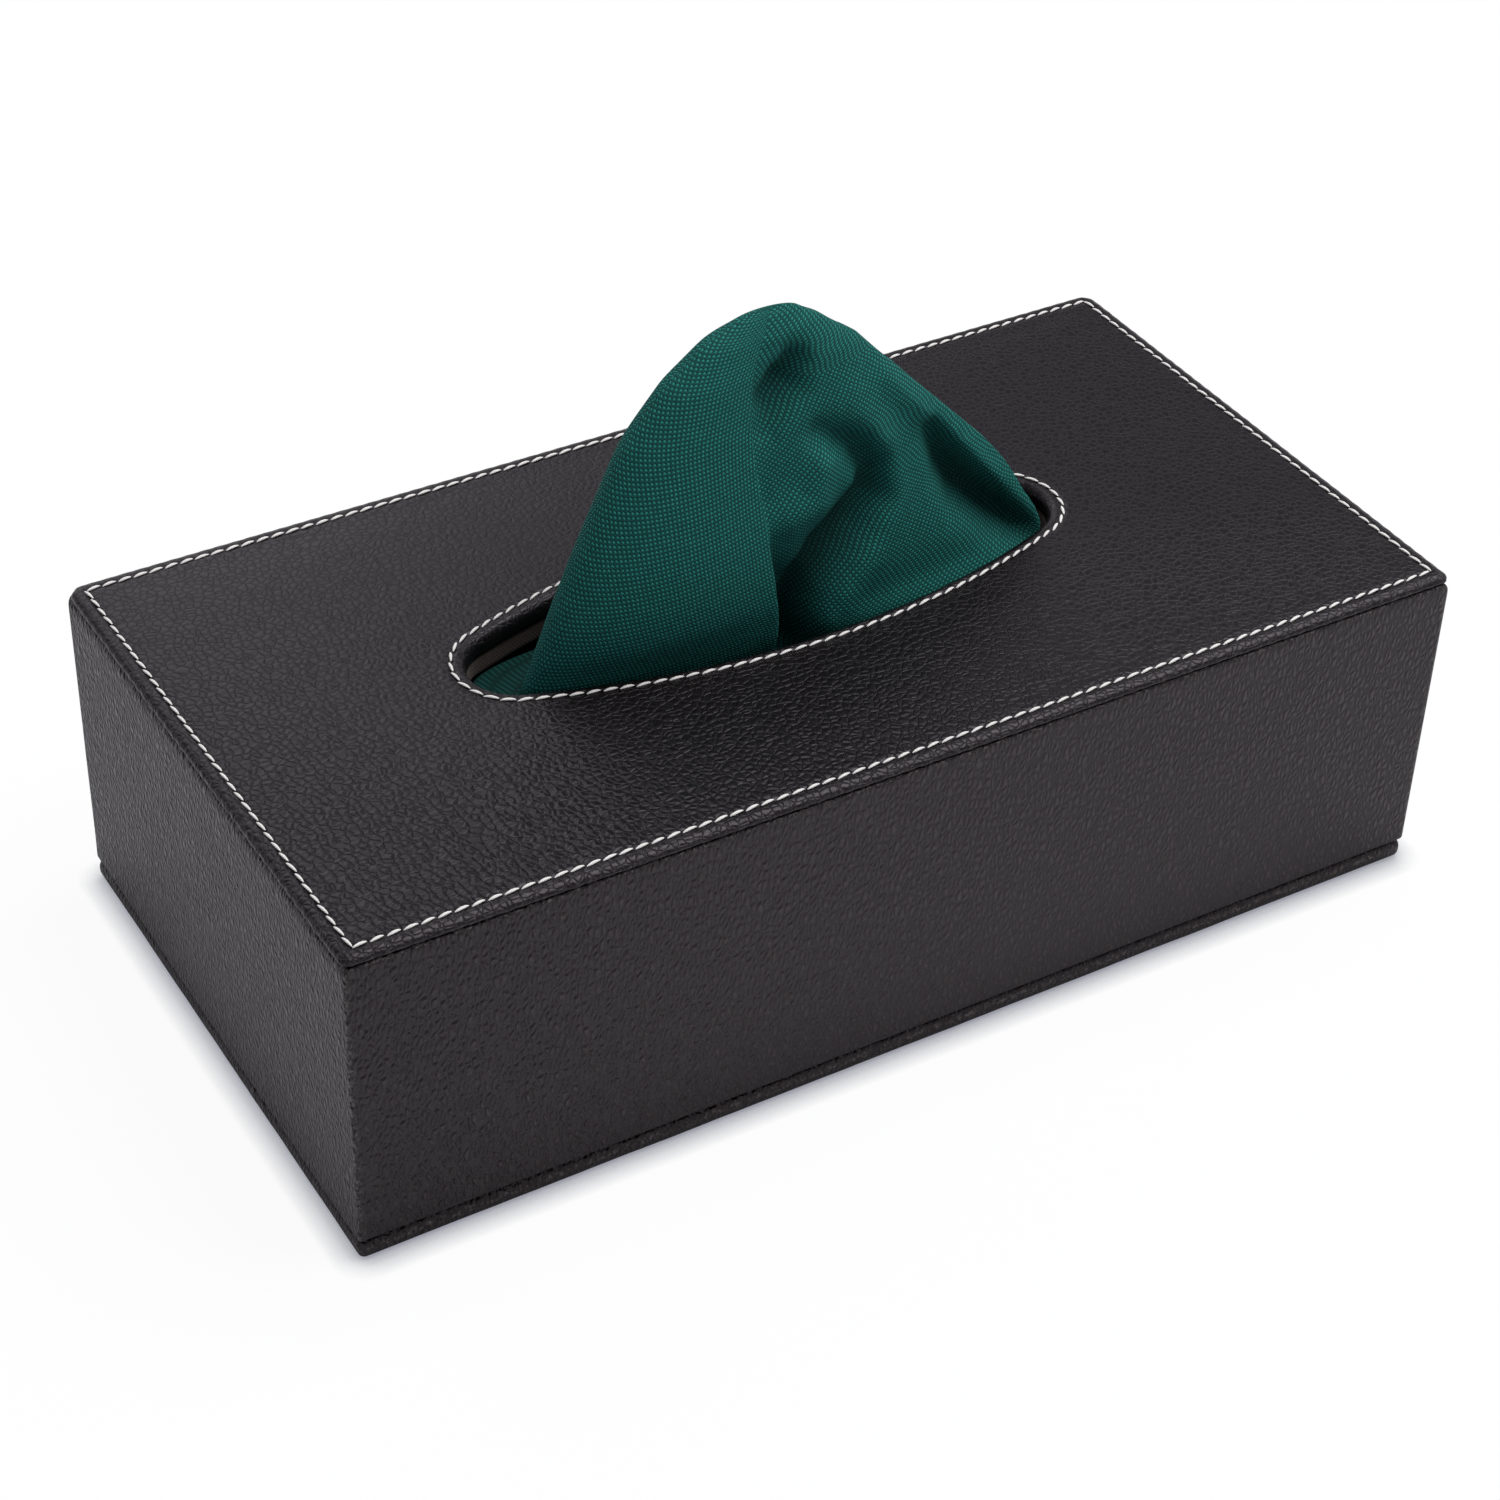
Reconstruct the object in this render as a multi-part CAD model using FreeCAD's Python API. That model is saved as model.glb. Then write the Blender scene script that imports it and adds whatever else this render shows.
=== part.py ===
import FreeCAD, Part
import math
import os

# Tissue box cover: a wrapped box of boards with a padded, stitched top, an oval slot for the tissues and a
# wrapped base plate hinged along the lower rear edge. The origin is the centre of the base's underside,
# +X runs along the long side, the front is -Y and +Z is up. All lengths are in millimetres.

# The cover, measured over its leather
cover_length = 250.0
cover_width = 130.0
cover_height = 75.0
leather_thickness = 1.0
wall_corner_radius = 2.0
turned_edge_radius = 0.9

# Boards, foam and linings
wall_board_thickness = 4.0
top_board_thickness = 5.0
foam_thickness = 2.0
lining_thickness = 0.5

# The top panel's outer edge
top_corner_radius = 3.5
top_edge_radius = 2.6

# The slot, measured on its row of stitches: half its length, half its width and the radius of its ends
slot_half_length = 70.0
slot_half_width = 23.0
slot_end_radius = 13.0
slot_roll_width = 3.0
slot_roll_radius = 2.4
slot_leather_depth = 4.0
binding_thickness = 0.8

# Stitches
stitch_inset = 3.2
stitch_pitch = 3.33
stitch_length = 2.7
stitch_width = 0.7
stitch_rise = 0.35
stitch_slant_degrees = 8.0

# The base plate
base_thickness = 4.8
base_inset = 0.5
base_edge_radius = 2.1
base_corner_radius = 2.5
base_border_width = 15.0
closing_gap = 0.3

# The leather hinge along the lower rear edge
hinge_length = 200.0
hinge_wall_height = 8.0

# Magnets in the front wall and the plates that they pull on
magnet_spacing = 160.0
magnet_length = 14.0
magnet_width = 3.0
magnet_height = 2.0
strike_thickness = 1.5
strike_margin = 1.0

# The cloth: how far it stands above the top and hangs below it, and its room in the slot
cloth_rise = 63.7
cloth_tail = 19.0
cloth_clearance = 0.5

# How far a cutting solid runs past what it cuts
overrun = 1.0

# Sizes that follow from the ones above
board_length = cover_length - 2 * leather_thickness
board_width = cover_width - 2 * leather_thickness
board_corner_radius = wall_corner_radius - leather_thickness
lined_wall = wall_board_thickness + lining_thickness
room_length = board_length - 2 * wall_board_thickness
room_width = board_width - 2 * wall_board_thickness
cavity_length = board_length - 2 * lined_wall
cavity_width = board_width - 2 * lined_wall

wrap_low = base_thickness + closing_gap
wall_low = wrap_low + leather_thickness
seam_height = cover_height - leather_thickness - foam_thickness
top_board_low = seam_height - top_board_thickness
top_lining_low = top_board_low - lining_thickness
foam_high = cover_height - leather_thickness
slot_leather_low = cover_height - slot_leather_depth

base_length = cover_length - 2 * base_inset
base_width = cover_width - 2 * base_inset
base_board_length = base_length - 2 * leather_thickness
base_board_width = base_width - 2 * leather_thickness
base_board_high = base_thickness - leather_thickness

# The cloth's level sections, from its tail to its peak. Levels are shares of cloth_tail below the top and of
# cloth_rise above it. Points are shares of the half length and half width that the slot leaves for the cloth:
# left tip, valley of the first fold, valley of the second fold, right tip and back.
# Bulges are shares of that half width, by which the arc from each point to the next stands out:
# left lobe, middle lobe, right lip, right back and left back.
cloth_level_shares = [-1.0, -0.5, 0.0, 0.22, 0.42, 0.64, 0.82, 0.94, 1.0]
cloth_point_shares = [
    [(-0.92, 0.06), (-0.14, -0.60), (0.80, -0.40), (0.91, -0.02), (0.00, 0.36)],
    [(-0.94, 0.04), (-0.14, -0.62), (0.84, -0.40), (0.93, -0.02), (0.00, 0.37)],
    [(-0.89, -0.43), (-0.13, -0.70), (0.88, -0.38), (0.95, -0.02), (0.05, 0.38)],
    [(-0.72, -0.16), (-0.11, -0.66), (0.66, -0.30), (0.80, 0.00), (0.05, 0.36)],
    [(-0.61, -0.05), (-0.08, -0.52), (0.54, -0.20), (0.63, 0.03), (0.04, 0.34)],
    [(-0.51, 0.00), (-0.06, -0.34), (0.37, -0.14), (0.44, 0.04), (0.02, 0.30)],
    [(-0.40, 0.00), (-0.05, -0.18), (0.21, -0.10), (0.28, 0.04), (-0.04, 0.25)],
    [(-0.26, 0.00), (-0.04, -0.11), (0.10, -0.08), (0.15, 0.03), (-0.04, 0.18)],
    [(-0.10, 0.00), (0.00, -0.06), (0.06, -0.05), (0.10, 0.01), (0.02, 0.08)],
]
cloth_bulge_shares = [
    [0.26, 0.30, 0.06, 0.12, 0.13],
    [0.27, 0.32, 0.06, 0.12, 0.13],
    [0.21, 0.34, 0.06, 0.12, 0.16],
    [0.26, 0.31, 0.07, 0.12, 0.13],
    [0.35, 0.28, 0.07, 0.11, 0.11],
    [0.29, 0.21, 0.06, 0.09, 0.09],
    [0.21, 0.14, 0.05, 0.07, 0.07],
    [0.13, 0.08, 0.03, 0.05, 0.05],
    [0.05, 0.04, 0.02, 0.03, 0.03],
]


def vector(x, y, z):
    return FreeCAD.Vector(x, y, z)


def block(x_low, x_high, y_low, y_high, z_low, z_high):
    """A box between two corners."""
    return Part.makeBox(x_high - x_low, y_high - y_low, z_high - z_low, vector(x_low, y_low, z_low))


def plate(length, width, z_low, z_high):
    """A box centred on the Z axis."""
    return block(-length / 2, length / 2, -width / 2, width / 2, z_low, z_high)


def rounded_plate(length, width, corner_radius, z_low, z_high):
    """A centred plate with round upright edges."""
    solid = plate(length, width, z_low, z_high)
    upright = [e for e in solid.Edges if e.BoundBox.ZLength > (z_high - z_low) / 2]
    return solid.makeFillet(corner_radius, upright)


def level_edges(solid, height, inside=None, outside=None):
    """The edges that lie at one height, within a half width of the Z axis or beyond it."""
    level = [e for e in solid.Edges if e.BoundBox.ZLength < overrun / 2]
    found = [e for e in level if abs(e.BoundBox.ZMin - height) < overrun / 2]
    if inside is not None:
        found = [e for e in found if max(abs(e.BoundBox.YMin), abs(e.BoundBox.YMax)) < inside]
    if outside is not None:
        found = [e for e in found if max(abs(e.BoundBox.YMin), abs(e.BoundBox.YMax)) > outside]
    return found


def oval_arcs(inward):
    """The slot's outline, moved inward from its stitches, as arcs: centre, radius, first angle and sweep."""
    half_length = slot_half_length - inward
    half_width = slot_half_width - inward
    end_radius = slot_end_radius - inward
    reach = half_length**2 + half_width**2 - 2 * half_length * end_radius
    side_radius = reach / (2 * (half_width - end_radius))
    end_centre = half_length - end_radius
    side_centre = side_radius - half_width
    end_half_angle = math.atan2(side_centre, end_centre)
    side_half_angle = math.pi / 2 - end_half_angle
    return [
        ((end_centre, 0), end_radius, -end_half_angle, 2 * end_half_angle),
        ((0, -side_centre), side_radius, end_half_angle, 2 * side_half_angle),
        ((-end_centre, 0), end_radius, math.pi - end_half_angle, 2 * end_half_angle),
        ((0, side_centre), side_radius, math.pi + end_half_angle, 2 * side_half_angle),
    ]


def on_arc(arc, share, height):
    """The point at a share of an arc's sweep."""
    (x, y), radius, first, sweep = arc
    angle = first + share * sweep
    return vector(x + radius * math.cos(angle), y + radius * math.sin(angle), height)


def oval_prism(inward, z_low, z_high):
    """The slot's outline, moved inward from its stitches, as an upright prism."""
    edges = []
    for arc in oval_arcs(inward):
        ends_and_middle = [on_arc(arc, share, z_low) for share in (0, 0.5, 1)]
        edges.append(Part.Arc(*ends_and_middle).toShape())
    return Part.Face(Part.Wire(edges)).extrude(vector(0, 0, z_high - z_low))


def mirrored(solid, normal):
    return solid.mirror(vector(0, 0, 0), normal)


def make_top_foam_pad():
    """Thin foam under the top's leather, rounded with it at the edge and at the slot."""
    inside_leather = slot_roll_width - leather_thickness
    pad = rounded_plate(
        board_length, board_width, top_corner_radius - leather_thickness, seam_height, foam_high
    )
    pad = pad.cut(oval_prism(inside_leather, seam_height - overrun, foam_high + overrun))
    pad = pad.makeFillet(
        top_edge_radius - leather_thickness, level_edges(pad, foam_high, outside=slot_half_width)
    )
    return pad.makeFillet(
        slot_roll_radius - leather_thickness, level_edges(pad, foam_high, inside=slot_half_width)
    )


def make_top_leather(foam_pad):
    """The top's leather: over the foam, down to the seam outside and down into the slot."""
    skin = rounded_plate(cover_length, cover_width, top_corner_radius, seam_height, cover_height)
    collar = oval_prism(slot_roll_width - leather_thickness, slot_leather_low, cover_height)
    skin = skin.fuse(collar).removeSplitter()
    skin = skin.cut(oval_prism(slot_roll_width, slot_leather_low - overrun, cover_height + overrun))
    skin = skin.makeFillet(top_edge_radius, level_edges(skin, cover_height, outside=slot_half_width))
    skin = skin.makeFillet(slot_roll_radius, level_edges(skin, cover_height, inside=slot_half_width))
    return skin.cut(foam_pad)


def make_top_board():
    """The board under the foam, standing on the walls."""
    board = rounded_plate(board_length, board_width, board_corner_radius, top_board_low, seam_height)
    hole = oval_prism(slot_roll_width - leather_thickness, top_board_low - overrun, seam_height + overrun)
    return board.cut(hole)


def make_top_lining():
    lining = plate(room_length, room_width, top_lining_low, top_board_low)
    hole = oval_prism(slot_roll_width - leather_thickness, top_lining_low - overrun, top_board_low + overrun)
    return lining.cut(hole)


def make_slot_binding():
    """The band on the slot's edge, from the rolled leather down to the lining."""
    outer = oval_prism(slot_roll_width - leather_thickness, top_lining_low, slot_leather_low)
    inner = oval_prism(
        slot_roll_width - leather_thickness + binding_thickness,
        top_lining_low - overrun,
        slot_leather_low + overrun,
    )
    return outer.cut(inner)


def make_front_wall_board(magnets):
    board = rounded_plate(board_length, board_width, board_corner_radius, wall_low, top_board_low)
    inner_face = -board_width / 2 + wall_board_thickness
    keep = block(-board_length / 2, board_length / 2, -board_width / 2, inner_face, wall_low, top_board_low)
    return board.common(keep).cut(magnets)


def make_rear_wall_board():
    board = rounded_plate(board_length, board_width, board_corner_radius, wall_low, top_board_low)
    inner_face = board_width / 2 - wall_board_thickness
    keep = block(-board_length / 2, board_length / 2, inner_face, board_width / 2, wall_low, top_board_low)
    return board.common(keep)


def make_left_wall_board():
    outer_face = -board_length / 2
    inner_face = outer_face + wall_board_thickness
    return block(outer_face, inner_face, -room_width / 2, room_width / 2, wall_low, top_board_low)


def make_side_leather_wrap():
    """Leather round the four walls, turned under them, with a shallow rebate for the hinge strip."""
    wrap = rounded_plate(cover_length, cover_width, wall_corner_radius, wrap_low, seam_height)
    wrap = wrap.makeFillet(turned_edge_radius, level_edges(wrap, wrap_low))
    wrap = wrap.cut(
        rounded_plate(board_length, board_width, board_corner_radius, wall_low, seam_height + overrun)
    )
    wrap = wrap.cut(plate(cavity_length, cavity_width, wrap_low - overrun, wall_low + overrun))
    rebate = block(
        -hinge_length / 2,
        hinge_length / 2,
        cover_width / 2 - base_inset,
        cover_width / 2 + overrun,
        wrap_low - overrun,
        wrap_low + hinge_wall_height,
    )
    return wrap.cut(rebate)


def make_front_lining():
    outer_face = -room_width / 2
    inner_face = outer_face + lining_thickness
    return block(-room_length / 2, room_length / 2, outer_face, inner_face, wall_low, top_lining_low)


def make_left_lining():
    outer_face = -room_length / 2
    inner_face = outer_face + lining_thickness
    return block(outer_face, inner_face, -cavity_width / 2, cavity_width / 2, wall_low, top_lining_low)


def make_hinge_strip():
    """A flat strip from the base's rear edge to the rear wall, flush with the wall's leather."""
    return block(
        -hinge_length / 2,
        hinge_length / 2,
        base_width / 2,
        cover_width / 2,
        base_edge_radius,
        wrap_low + hinge_wall_height,
    )


def make_base_leather():
    """The base's wrap: round edges, turned in on top as a border."""
    wrap = rounded_plate(base_length, base_width, base_corner_radius, 0, base_thickness)
    wrap = wrap.makeFillet(base_edge_radius, level_edges(wrap, 0) + level_edges(wrap, base_thickness))
    wrap = wrap.cut(make_base_board_space())
    return wrap.cut(make_base_lining())


def make_base_board_space():
    corner_radius = base_corner_radius - leather_thickness
    return rounded_plate(
        base_board_length, base_board_width, corner_radius, leather_thickness, base_board_high
    )


def make_base_lining():
    length = base_length - 2 * base_border_width
    width = base_width - 2 * base_border_width
    return plate(length, width, base_board_high, base_thickness)


def make_wall_magnets():
    """Bars let into the lower edge of the front wall."""
    middle = -board_width / 2 + wall_board_thickness / 2
    bar = block(
        (magnet_spacing - magnet_length) / 2,
        (magnet_spacing + magnet_length) / 2,
        middle - magnet_width / 2,
        middle + magnet_width / 2,
        wall_low,
        wall_low + magnet_height,
    )
    return Part.makeCompound([bar, mirrored(bar, vector(1, 0, 0))])


def make_base_strike_plates():
    """Steel plates let into the base board under the magnets."""
    front = -base_board_width / 2 + strike_margin
    bar = block(
        (magnet_spacing - magnet_length) / 2,
        (magnet_spacing + magnet_length) / 2,
        front,
        front + magnet_width,
        base_board_high - strike_thickness,
        base_board_high,
    )
    return Part.makeCompound([bar, mirrored(bar, vector(1, 0, 0))])


def stitch(point, direction):
    """One stitch: a low lens of thread that lies on the leather, a little across the seam's direction."""
    half_length = stitch_length / 2
    half_width = stitch_width / 2
    ends = [vector(-half_length, 0, 0), vector(half_length, 0, 0)]
    sides = [
        Part.Arc(ends[0], vector(0, -half_width, 0), ends[1]).toShape(),
        Part.Arc(ends[1], vector(0, half_width, 0), ends[0]).toShape(),
    ]
    solid = Part.Face(Part.Wire(sides)).extrude(vector(0, 0, stitch_rise))
    solid.rotate(vector(0, 0, 0), vector(0, 0, 1), math.degrees(direction) + stitch_slant_degrees)
    solid.translate(point)
    return solid


def make_perimeter_stitching():
    """Stitches along the four sides of the top."""
    half_length = cover_length / 2 - stitch_inset
    half_width = cover_width / 2 - stitch_inset
    corners = [
        vector(-half_length, -half_width, cover_height),
        vector(half_length, -half_width, cover_height),
        vector(half_length, half_width, cover_height),
        vector(-half_length, half_width, cover_height),
    ]
    stitches = []
    for start, end in zip(corners, corners[1:] + corners[:1]):
        run = end - start
        count = round(run.Length / stitch_pitch)
        for i in range(count):
            middle = start + run * ((i + 0.5) / count)
            stitches.append(stitch(middle, math.atan2(run.y, run.x)))
    return Part.makeCompound(stitches)


def make_slot_stitching():
    """Stitches evenly spaced round the slot."""
    arcs = oval_arcs(0)
    lengths = [radius * sweep for centre, radius, first, sweep in arcs]
    count = round(sum(lengths) / stitch_pitch)
    stitches = []
    for i in range(count):
        along = (i + 0.5) / count * sum(lengths)
        turn = 0
        while along > lengths[turn]:
            along -= lengths[turn]
            turn += 1
        share = along / lengths[turn]
        centre, radius, first, sweep = arcs[turn]
        direction = first + share * sweep + math.pi / 2
        stitches.append(stitch(on_arc(arcs[turn], share, cover_height), direction))
    return Part.makeCompound(stitches)


def cloth_section(level, point_shares, bulge_shares):
    """One level section of the cloth, as a closed ring of arcs."""
    half_length = slot_half_length - slot_roll_width - cloth_clearance
    half_width = slot_half_width - slot_roll_width - cloth_clearance
    height = cover_height + level * (cloth_rise if level > 0 else cloth_tail)
    points = [vector(x * half_length, y * half_width, height) for x, y in point_shares]
    arcs = []
    for start, end, bulge in zip(points, points[1:] + points[:1], bulge_shares):
        run = end - start
        outward = vector(run.y, -run.x, 0).normalize()
        middle = (start + end) * 0.5 + outward * (bulge * half_width)
        arcs.append(Part.Arc(start, middle, end).toShape())
    return Part.Wire(arcs)


def make_green_cloth():
    """The cloth that stands in the slot: one body with its two main folds, kept within the slot's room."""
    sections = [
        cloth_section(level, points, bulges)
        for level, points, bulges in zip(cloth_level_shares, cloth_point_shares, cloth_bulge_shares)
    ]
    low = cover_height - cloth_tail - overrun
    high = cover_height + cloth_rise + overrun
    room = oval_prism(slot_roll_width + cloth_clearance, low, high)
    return Part.makeLoft(sections, True, False).common(room)


def make_parts():
    """Every piece by name."""
    foam_pad = make_top_foam_pad()
    wall_magnets = make_wall_magnets()
    strike_plates = make_base_strike_plates()
    left_wall = make_left_wall_board()
    front_lining = make_front_lining()
    left_lining = make_left_lining()
    across_x = vector(1, 0, 0)
    across_y = vector(0, 1, 0)
    return {
        "top_foam_pad": foam_pad,
        "top_leather": make_top_leather(foam_pad),
        "top_board": make_top_board(),
        "top_lining": make_top_lining(),
        "slot_binding": make_slot_binding(),
        "perimeter_stitching": make_perimeter_stitching(),
        "slot_stitching": make_slot_stitching(),
        "front_wall_board": make_front_wall_board(wall_magnets),
        "rear_wall_board": make_rear_wall_board(),
        "left_wall_board": left_wall,
        "right_wall_board": mirrored(left_wall, across_x),
        "side_leather_wrap": make_side_leather_wrap(),
        "front_lining": front_lining,
        "rear_lining": mirrored(front_lining, across_y),
        "left_lining": left_lining,
        "right_lining": mirrored(left_lining, across_x),
        "wall_magnets": wall_magnets,
        "hinge_strip": make_hinge_strip(),
        "base_leather": make_base_leather(),
        "base_board": make_base_board_space().cut(strike_plates),
        "base_lining": make_base_lining(),
        "base_strike_plates": strike_plates,
        "green_cloth": make_green_cloth(),
    }


os.makedirs("parts", exist_ok=True)
for name, shape in make_parts().items():
    shape.exportStep(f"parts/{name}.step")
    box = shape.BoundBox
    print(f"{name}: {len(shape.Solids)} solids, valid {shape.isValid()}, volume {shape.Volume:.1f}, "
          f"z {box.ZMin:.2f} to {box.ZMax:.2f}")
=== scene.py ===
import math
import random

import bmesh
import bpy
from mathutils import Euler, Matrix, Vector, noise


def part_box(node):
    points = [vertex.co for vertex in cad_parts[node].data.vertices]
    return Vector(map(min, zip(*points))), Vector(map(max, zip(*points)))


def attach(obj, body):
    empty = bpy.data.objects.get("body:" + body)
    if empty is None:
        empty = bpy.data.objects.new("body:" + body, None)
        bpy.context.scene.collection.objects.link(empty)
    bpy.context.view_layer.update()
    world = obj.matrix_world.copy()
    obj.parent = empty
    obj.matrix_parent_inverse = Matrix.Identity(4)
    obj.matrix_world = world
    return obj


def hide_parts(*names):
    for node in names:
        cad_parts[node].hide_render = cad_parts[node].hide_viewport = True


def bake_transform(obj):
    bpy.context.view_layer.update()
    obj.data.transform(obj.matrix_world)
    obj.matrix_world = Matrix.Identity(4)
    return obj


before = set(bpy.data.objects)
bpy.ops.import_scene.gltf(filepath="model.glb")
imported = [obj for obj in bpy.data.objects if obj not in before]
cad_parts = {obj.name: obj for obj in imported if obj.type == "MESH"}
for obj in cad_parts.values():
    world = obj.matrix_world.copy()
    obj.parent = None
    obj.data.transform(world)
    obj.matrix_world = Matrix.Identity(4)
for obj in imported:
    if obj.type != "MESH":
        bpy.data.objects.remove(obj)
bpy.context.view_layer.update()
mm = 0.001

# Places that the pieces share, read from the solids
wrapLow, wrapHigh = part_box("side_leather_wrap")
topLow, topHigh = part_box("top_leather")
foamLow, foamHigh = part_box("top_foam_pad")
bindingLow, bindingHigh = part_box("slot_binding")
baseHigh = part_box("base_leather")[1]
stripLow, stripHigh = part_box("hinge_strip")
topHideWall = 1.0 * mm   # thickness of the top's leather
sideHideWall = 0.9 * mm  # and of the walls' and the base's
stripGap = 0.05 * mm     # between the hinge strip and the leather in front of it
tightCorner = 0.3 * mm   # smallest radius that a skin's corner keeps


# Small helpers

def hexToLinear(hexColour):
    channels = [int(hexColour[i:i + 2], 16) / 255 for i in (1, 3, 5)]
    return [c / 12.92 if c <= 0.04045 else ((c + 0.055) / 1.055) ** 2.4 for c in channels] + [1.0]


def setInputs(tree, node, inputs):
    for name, value in inputs.items():
        socket = node.inputs[name]
        if isinstance(value, bpy.types.NodeSocket):
            tree.links.new(value, socket)
        else:
            socket.default_value = value


def addNode(tree, kind, settings, inputs):
    node = tree.nodes.new(kind)
    for name, value in settings.items():
        setattr(node, name, value)
    setInputs(tree, node, inputs)
    return node


def newMaterial(name):
    material = bpy.data.materials.new(name)
    material.use_nodes = True
    return material, material.node_tree, material.node_tree.nodes["Principled BSDF"]


def makePiece(name, bm, material, smooth=True):
    for tag in list(bm.verts.layers.int.values()):
        bm.verts.layers.int.remove(tag)
    mesh = bpy.data.meshes.new(name)
    bm.to_mesh(mesh)
    bm.free()
    for polygon in mesh.polygons:
        polygon.use_smooth = smooth
    mesh.materials.append(material)
    piece = bpy.data.objects.new(name, mesh)
    bpy.context.scene.collection.objects.link(piece)
    return piece


def addThickness(piece, thickness):
    wall = piece.modifiers.new("thickness", "SOLIDIFY")
    wall.thickness = thickness
    wall.offset = -1
    wall.use_even_offset = False


def faceArea(piece):
    return sum(polygon.area for polygon in piece.data.polygons)


def rolledSkin(columns, rows, place):
    # a grid rolled into a ring: place gives the point of each column and row
    bm = bmesh.new()
    columnTag = bm.verts.layers.int.new("column")
    rowTag = bm.verts.layers.int.new("row")
    bmesh.ops.create_grid(bm, x_segments=columns, y_segments=rows, size=0.5)
    for vert in bm.verts:
        vert[columnTag] = round((vert.co.x + 0.5) * columns) % columns
        vert[rowTag] = round((vert.co.y + 0.5) * rows)
        vert.co = place(vert[columnTag], vert[rowTag])
    bmesh.ops.remove_doubles(bm, verts=bm.verts, dist=0.0001 * mm)
    return bm


def faceOutwards(bm, inside):
    # turns the skin over if most of it looks at the point inside
    bmesh.ops.recalc_face_normals(bm, faces=bm.faces)
    score = sum(face.normal.dot(face.calc_center_median() - inside) * face.calc_area() for face in bm.faces)
    if score < 0:
        bmesh.ops.reverse_faces(bm, faces=bm.faces)


def soften(bm, verts, times):
    for _ in range(times):
        bmesh.ops.smooth_vert(bm, verts=verts, factor=0.5, use_axis_x=True, use_axis_y=True, use_axis_z=True)


def quarterTurn(steps):
    # cosine and sine of even steps over a quarter turn
    angles = [math.pi / 2 * i / steps for i in range(steps + 1)]
    return [(math.cos(angle), math.sin(angle)) for angle in angles]


# Outlines that the skins follow

stitchRow = {
    "inset": 3.2 * mm,   # from the outer edge
    "pitch": 3.33 * mm,
    "length": 3.3 * mm,
    "lengths": (0.94, 1.04),  # shortest and longest stitch, as shares of it
    "width": 0.6 * mm,
    "height": 0.5 * mm,
    "fuller": 0.15,      # how much fuller its middle is than a plain spindle's
    "arch": 0.2 * mm,    # how far a stitch's ends dip into their holes
    "slant": 10.0,       # degrees across the row
    "slantSpread": 2.5,  # degrees either way
    "liftSpread": 0.03 * mm,
    "columns": 4,        # columns of the leather for each stitch
}
slot = {
    "halfLength": bindingHigh.x + 2 * mm,  # on the row of stitches
    "halfWidth": bindingHigh.y + 2 * mm,
    "endRadius": 13 * mm,
    "rollWidth": 3.0 * mm,
    "rollRadius": 2.4 * mm,
}
longStitches = round(2 * (wrapHigh.x - stitchRow["inset"]) / stitchRow["pitch"])
shortStitches = round(2 * (wrapHigh.y - stitchRow["inset"]) / stitchRow["pitch"])
longColumns = longStitches * stitchRow["columns"]
shortColumns = shortStitches * stitchRow["columns"]
ringColumns = 2 * (longColumns + shortColumns)

# The slot is an oval of four arcs
slotReach = slot["halfLength"] ** 2 + slot["halfWidth"] ** 2 - 2 * slot["halfLength"] * slot["endRadius"]
slotSideRadius = slotReach / (2 * (slot["halfWidth"] - slot["endRadius"]))
slotEndCentre = slot["halfLength"] - slot["endRadius"]
slotSideCentre = slotSideRadius - slot["halfWidth"]
slotEndAngle = math.atan2(slotSideCentre, slotEndCentre)
slotEndArc = slot["endRadius"] * slotEndAngle  # half of an end
slotQuarter = slotEndArc + slotSideRadius * (math.pi / 2 - slotEndAngle)
slotStitches = round(4 * slotQuarter / stitchRow["pitch"])


def slotPoint(share, inward):
    # a share of the way round from the right tip, moved inward from the stitches
    turn = (share % 1) * 4
    quadrant = int(turn)
    along = (turn - quadrant) * slotQuarter
    if quadrant % 2:
        along = slotQuarter - along
    if along < slotEndArc:
        angle = along / slot["endRadius"]
        x = slotEndCentre + (slot["endRadius"] - inward) * math.cos(angle)
        y = (slot["endRadius"] - inward) * math.sin(angle)
    else:
        angle = slotEndAngle + (along - slotEndArc) / slotSideRadius
        x = (slotSideRadius - inward) * math.cos(angle)
        y = (slotSideRadius - inward) * math.sin(angle) - slotSideCentre
    return Vector((x if quadrant in (0, 3) else -x, y if quadrant in (0, 1) else -y))


def edgePoint(column, halfLength, halfWidth, cornerRadius):
    # columns start at the middle of the right side and are shared out over the sides as the stitches are
    place = (column + shortColumns / 2) % ringColumns
    if place < shortColumns:
        point = Vector((1, 2 * place / shortColumns - 1))
    elif place < shortColumns + longColumns:
        point = Vector((1 - 2 * (place - shortColumns) / longColumns, 1))
    elif place < 2 * shortColumns + longColumns:
        point = Vector((-1, 1 - 2 * (place - shortColumns - longColumns) / shortColumns))
    else:
        point = Vector((2 * (place - 2 * shortColumns - longColumns) / longColumns - 1, -1))
    point = Vector((point.x * halfLength, point.y * halfWidth))
    straightX = max(halfLength - cornerRadius, 0)
    straightY = max(halfWidth - cornerRadius, 0)
    near = Vector((min(max(point.x, -straightX), straightX), min(max(point.y, -straightY), straightY)))
    off = point - near
    if off.x and off.y:
        point = near + off.normalized() * cornerRadius
    return point


def pushFace(point, halfLength, halfWidth, out):
    # moves a point that lies on a wall's face outward, on both walls at a corner
    for axis, half in enumerate((halfLength, halfWidth)):
        if abs(abs(point[axis]) - half) < 0.01 * mm:
            point[axis] += out * math.copysign(1, point[axis])


def markWearAndHighlight(bm, amount):
    # keeps with each vertex how much its edge is rubbed and takes painted highlight
    tag = bm.verts.layers.float.new("wearAndHighlight")
    for vert in bm.verts:
        vert[tag] = min(max(amount(vert.co), 0), 1)


def unevenness(point, size, seed):
    # soft hand-made irregularity, from -1 to 1
    return noise.noise(Vector(point) / size + Vector((seed, 2 * seed, 3 * seed)))


# Materials

# pale flecks on the edges: worn leather, and painted highlight along edges that catch the light
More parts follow.
